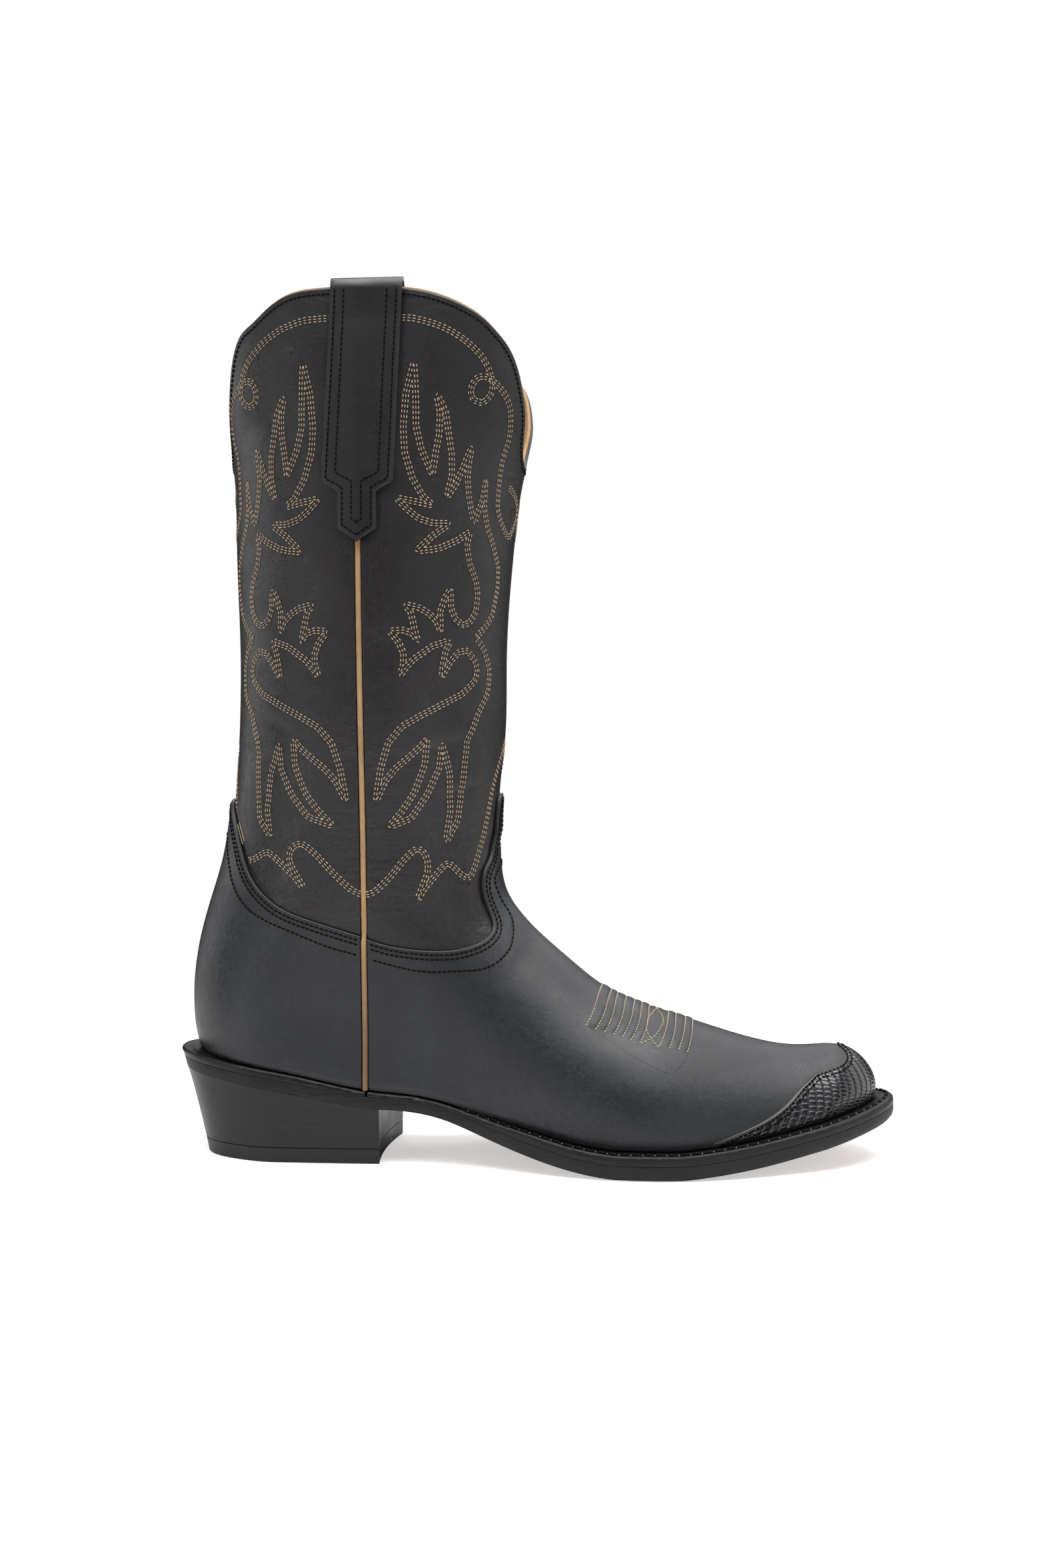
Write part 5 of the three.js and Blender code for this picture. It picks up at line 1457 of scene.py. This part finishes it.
def row_beside(curve, distance, pitch, lift):
    """Stitch places of a row beside a curve, in step with it, where the row keeps its distance."""
    moved = eased(beside(curve, distance), 1) if distance else curve
    height = lift + relief(moved[:, 0], moved[:, 1])
    line = skin(moved[:, 0], moved[:, 1], height)
    guide = skin(curve[:, 0], curve[:, 1], lift + 0 * curve[:, 0])
    centre, run, out = even_places(line, surface(moved[:, 0], moved[:, 1])[1], pitch, guide)
    away = np.linalg.norm(centre[:, None] - guide[None], axis=-1).min(1)
    keep = away > 0.72 * abs(distance) - 0.01
    return centre[keep], run[keep], out[keep]


PATTERN_PITCH = 2.1
PATTERN_LIFT = 0.13


def pattern_quarter(side, back):
    """All stitch rows of one quarter of the shaft: rows beside each drawn line, kept above the foot."""
    rows = []
    for points, sharp in ((FLAME, True), (SCROLL, False), (SCROLL_LOOP, False), (FRAME, False)):
        curve = straight(points) if sharp else drawn(points)
        curve = to_quarter(curve, side, back)
        if back:
            low = counter_top(curve[:, 0]) + 3.5
            curve = curve[curve[:, 1] > low]
        else:
            curve = curve[curve[:, 1] > vamp_top(curve[:, 0]) + 2]
        rows += [row_beside(curve, distance, PATTERN_PITCH, PATTERN_LIFT) for distance in PATTERN_ROWS]
    return rows


for side, side_name in ((-1, "outer"), (1, "inner")):
    for back, end_name in ((False, "front"), (True, "back")):
        stitches("shaft_stitching_%s_%s" % (side_name, end_name), pattern_quarter(side, back), 1.3, 0.19,
                 TAN_THREAD, seed=3 + side + 5 * back)


def collar_curve(distance):
    """A line a distance down from the top edges of the vamp and counter, all round."""
    rnd = np.linspace(0.012, 1.988, 900)
    level = np.where(rnd < 1, vamp_top(rnd), counter_top(rnd))
    right = eased(np.stack([rnd, level], 1), 2)
    right = beside(right, distance)
    keep = (right[:, 0] > 0.004) & (right[:, 0] < 1.996) & (np.abs(right[:, 0] - 1) > 0.02)
    return right[keep]


SECOND_ROW = [
    (-1.863, 134), (-1.728, 118), (-1.626, 106.8), (-1.508, 98.4), (-1.395, 94.2), (-1.266, 91.2),
    (-1.132, 87.6), (-1.014, 86.2), (-0.935, 84.9), (-0.829, 84.2), (-0.717, 85.7), (-0.601, 87.7),
    (-0.472, 93.1), (-0.364, 98.6), (-0.221, 106.5), (-0.203, 113.5), (-0.186, 121),
    (-0.004, 127.5),
]
COLLAR_ROWS = (-1.7, -3.6)  # from the collar's cut edge, down the foot
COLLAR_PITCH = 2.1
CAP_ROWS = (-1.5, -3.3)  # from the cap's cut edge, towards the toe
second = drawn(SECOND_ROW)
second = second[np.abs(np.abs(second[:, 0]) - 1) > 0.02]
rows = []
for line in [collar_curve(distance) for distance in COLLAR_ROWS] + [second]:
    for part in (line, line * (-1, 1)):
        for piece in (part[np.abs(part[:, 0]) < 1], part[np.abs(part[:, 0]) > 1]):
            rows.append(places_along(piece, COLLAR_PITCH, VAMP_OUT + 0.06))
stitches("collar_stitching", rows, 1.9, 0.34, BLACK_THREAD, seed=11)

rows = []
cap_rounds = np.linspace(-0.485, 0.485, 700)
cap_edge = eased(np.stack([cap_rounds, cap_top(cap_rounds)], 1), 3)
for distance in CAP_ROWS:
    rows.append(places_along(beside(cap_edge, distance), 2.0, CAP_OUT - 0.02, 0.0))
stitches("cap_stitching", rows, 1.8, 0.34, BLACK_THREAD, seed=12)

top_rounds = np.linspace(-2, 2, 2600)
top_rounds = top_rounds[np.abs(np.abs(top_rounds) - 1) > 0.02]
rows = []
for low, high in ((-2, -1), (-1, 1), (1, 2)):
    part = top_rounds[(top_rounds > low) & (top_rounds < high)]
    line = eased(np.stack([part, top_level(part)], 1), 3)
    rows.append(places_along(beside(line, -2.6), 2.0, 0.06))
stitches("top_line_stitching", rows, 1.8, 0.32, BLACK_THREAD, seed=13)

rows = []
for row in range(len(CORD_ROWS)):
    reach = CORD_ROWS[row][2] - 0.004
    rnd = np.linspace(-reach, reach, 260)
    rows.append(places_along(np.stack([rnd, cord_level(row, rnd)], 1), 1.6, VAMP_OUT + 0.12))
RIBBON = [(-0.397, 51.8), (-0.376, 55.8), (-0.334, 60.4), (-0.242, 65), (-0.11, 67.6), (0, 68)]
RIBBON_LOW = [(-0.423, 54.4), (-0.359, 56.8), (-0.267, 60.9), (-0.151, 65), (-0.06, 67.4), (0, 68)]
for curve in (drawn(RIBBON), drawn(RIBBON_LOW)):
    for part in (curve, curve * (-1, 1)):
        rows.append(places_along(part, 1.9, VAMP_OUT + 0.12))
stitches("corded_row_stitching", rows, 1.15, 0.23, CREAM_THREAD, seed=14)


STRAP_PITCH = 2.1
STRAP_ROWS = (2.1, 6.0)  # in from the strap's edge


def strap_line(side, inset):
    """Stitch line along the strap's outline, an inset in from its edge."""
    down = np.linspace(1.5, STRAP_LENGTH - 1.2 * inset, 260)
    half = np.maximum(strap_half(down + 0.6 * inset) - inset, 0.02)
    lines = []
    for edge in (-1, 1):
        x = edge * half
        rnd, level, _ = strap_place(side, x, down, 0.0)
        lift = (0.45 + strap_bulge(x, down) + STRAP_LEATHER + 0.75 * smooth(14, 0, down)
                + relief(side + 0 * x, level))
        line = skin(rnd, level, lift)
        _, out = surface(rnd, level)
        lines.append(even_places(line, out, STRAP_PITCH))
    return lines


rows = []
for seam_side in (-1, 1):
    for inset in STRAP_ROWS:
        rows += strap_line(seam_side, inset)
stitches("strap_stitching", rows, 1.9, 0.33, BLACK_THREAD, seed=15)


def welt_line(inset, pitch, rise):
    """Stitch places along the welt's upper face, an inset in from the sole's edge."""
    rnd = np.linspace(-0.86, 0.86, 900)
    line = flat_ring(rnd, inset, lambda x: sole_top(x) + GAP + welt_thickness(x) + rise)
    up = np.zeros_like(line) + (0, 0, 1.0)
    return even_places(line, up, pitch)


WELT_PITCH = 4.8
WELT_INSET = 2.95
stitches("welt_stitching", [welt_line(WELT_INSET, WELT_PITCH, -0.05)], 4.3, 0.75, BLACK_THREAD,
         seed=16, sunk=0.6, flat=0.75)
centre, run, up = welt_line(WELT_INSET, WELT_PITCH, 0.1)
half_on = centre + run * WELT_PITCH / 2
stitches("welt_stitch_locks", [(half_on, np.cross(up, run), up)], 0.8, 0.17, TAN_THREAD,
         seed=17)


def underside_line(inset):
    """Stitch places along the sole's underside, an inset in from its edge."""
    rnd = np.linspace(-0.86, 0.86, 900)
    line = flat_ring(rnd, inset, lambda x: sole_bottom(x) + 0.25)
    return even_places(line, np.zeros_like(line) + (0, 0, -1.0), 3.6)


stitches("outsole_channel_stitching", [underside_line(3.8)], 3.2, 0.4, CREAM_THREAD,
         seed=18)


PEG_SIDES = 10
PEG_COUNT = 8


def pegs():
    """Wooden peg heads in the waist: short round studs just proud of the sole's underside."""
    points, quads, tris = [], [], []
    spoke = np.arange(PEG_SIDES)
    ahead = (spoke + 1) % PEG_SIDES
    turn = spoke * 2 * np.pi / PEG_SIDES
    names = ["waist_peg_%d" % number for number in range(1, PEG_COUNT + 1)]
    for name in names:
        low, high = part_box(name)
        x, y = (low.x + high.x) * 500 + ORIGIN[0], (low.y + high.y) * 500
        radius = (high.x - low.x) * 500
        base = len(points) * (2 * PEG_SIDES + 2)
        bottom = sole_bottom(x) - 0.12
        rings = [np.stack([x + radius * np.cos(turn), y + radius * np.sin(turn), 0 * turn + z], 1)
                 for z in (bottom + 1.5, bottom)]
        points.append(np.concatenate([*rings, [[x, y, bottom + 1.5], [x, y, bottom]]]))
        quads.append(grid_quads(2, PEG_SIDES, False, True) + base)
        tris.append(np.stack([spoke, ahead, 0 * ahead + 2 * PEG_SIDES], 1) + base)
        tris.append(np.stack([ahead + PEG_SIDES, spoke + PEG_SIDES, 0 * ahead + 2 * PEG_SIDES + 1], 1) + base)
    build("waist_pegs", np.concatenate(points), np.concatenate(quads), PEG_WOOD, names,
          tris=np.concatenate(tris))


pegs()

# ---- CAD pieces that show as they are ----
SHOWN = {
    "insole": INSOLE_LEATHER, "sock_lining": LINING_LEATHER,
    "cork_filler": CORK, "seat_filler": CORK, "shank": STEEL,
    **{"heel_nail_%d" % n: BRASS for n in range(1, 6)},
}
for node, material in SHOWN.items():
    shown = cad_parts[node].data
    shown.materials.clear()
    shown.materials.append(material)

# ---- Floor, light and camera ----
FLOOR_REACH = 1.1


def floor():
    """A pale disc that fades out to the white surroundings."""
    rings, spokes = 8, 96
    reach = np.linspace(0, FLOOR_REACH, rings + 1)[1:]
    turn = np.arange(spokes) * 2 * np.pi / spokes
    x = np.concatenate([[0], np.outer(reach, np.cos(turn)).ravel()]) + 0.1
    y = np.concatenate([[0], np.outer(reach, np.sin(turn)).ravel()])
    mesh = bpy.data.meshes.new("floor")
    quads = (grid_quads(rings, spokes, False, True) + 1).tolist()
    ahead = (np.arange(spokes) + 1) % spokes
    fan = np.stack([0 * ahead, np.arange(spokes) + 1, ahead + 1], 1).tolist()
    mesh.from_pydata(np.stack([x, y, 0 * x - 0.0002], 1).tolist(), [], fan + quads)
    made = Finish("floor")
    away = wire(made.tree, "VectorMath", {0: made.place}, operation="LENGTH").outputs["Value"]
    sockets = {"Value": away, "From Min": 0.34, "From Max": 0.75, "To Min": 1.0, "To Max": 0.0}
    fade = wire(made.tree, "MapRange", sockets, interpolation_type="SMOOTHSTEP").outputs[0]
    speck = noise(made.tree, made.place, 180.0, 3.0)
    seen_straight = wire(made.tree, "LightPath").outputs["Is Camera Ray"]
    glow = maths(made.tree, "MULTIPLY", seen_straight, 0.5)
    made.tree.links.new(glow, made.shader.inputs["Emission Strength"])
    colour = made.blend(speck, (0.86, 0.85, 0.855), (0.9, 0.89, 0.895))
    mesh.materials.append(made.surface(Emission_Color=(1.0, 1.0, 1.0), Base_Color=colour,
                                       Roughness=0.7, Alpha=fade))
    made_floor = bpy.data.objects.new("floor", mesh)
    scene.collection.objects.link(made_floor)


floor()


def soft_light(name, place, aim, size, power):
    """A large soft light facing its aim."""
    lamp = bpy.data.lights.new(name, "AREA")
    lamp.shape, lamp.size, lamp.size_y, lamp.energy = "RECTANGLE", size[0], size[1], power
    holder = bpy.data.objects.new(name, lamp)
    holder.location = place
    holder.rotation_euler = (Vector(aim) - Vector(place)).to_track_quat("-Z", "Y").to_euler()
    scene.collection.objects.link(holder)


soft_light("left strip", (-0.8, -0.95, 0.3), (0.03, 0, 0.18), (0.3, 1.2), 3.7)
soft_light("right strip", (0.85, -0.95, 0.3), (0.05, 0, 0.16), (0.22, 1.2), 3.1)
soft_light("left light", (-1.15, 0.25, 0.4), (0.03, 0, 0.18), (0.8, 1.1), 4)
soft_light("right light", (1.2, 0.3, 0.4), (0.05, 0, 0.16), (0.8, 1.1), 4)
soft_light("top light", (0.2, -0.2, 1.15), (0.12, 0, 0.05), (1.3, 1.0), 27)
soft_light("back light", (0.3, 0.95, 0.85), (0.12, 0, 0.08), (1.6, 0.7), 7)

world = bpy.data.worlds.new("surroundings")
scene.world = world
world.use_nodes = True
sky = world.node_tree
seen = wire(sky, "LightPath").outputs["Is Camera Ray"]
strength = wire(sky, "MapRange", {"Value": seen, "To Min": 0.05, "To Max": 1.0}).outputs[0]
background = sky.nodes["Background"]
background.inputs["Color"].default_value = (1, 1, 1, 1)
sky.links.new(strength, background.inputs["Strength"])
scene.view_settings.view_transform = "Standard"

CAMERA_YAW = math.radians(4.8)
CAMERA_AWAY = 0.74
CAMERA_HEIGHT = 0.159
CAMERA_AIM_X = 0.15  # ahead of the heel's back
ahead = Vector((-math.sin(CAMERA_YAW), math.cos(CAMERA_YAW), 0))
right = Vector((math.cos(CAMERA_YAW), math.sin(CAMERA_YAW), 0))
place = Vector((CAMERA_AIM_X - ORIGIN[0] / 1000, 0, CAMERA_HEIGHT)) - ahead * CAMERA_AWAY
lens = bpy.data.cameras.new("camera")
lens.sensor_fit, lens.sensor_height, lens.lens, lens.clip_start = "VERTICAL", 36, 39.08, 0.01
camera = bpy.data.objects.new("camera", lens)
camera.matrix_world = Matrix((
    (right.x, 0, -ahead.x, place.x),
    (right.y, 0, -ahead.y, place.y),
    (right.z, 1, -ahead.z, place.z),
    (0, 0, 0, 1)))
scene.collection.objects.link(camera)
scene.camera = camera
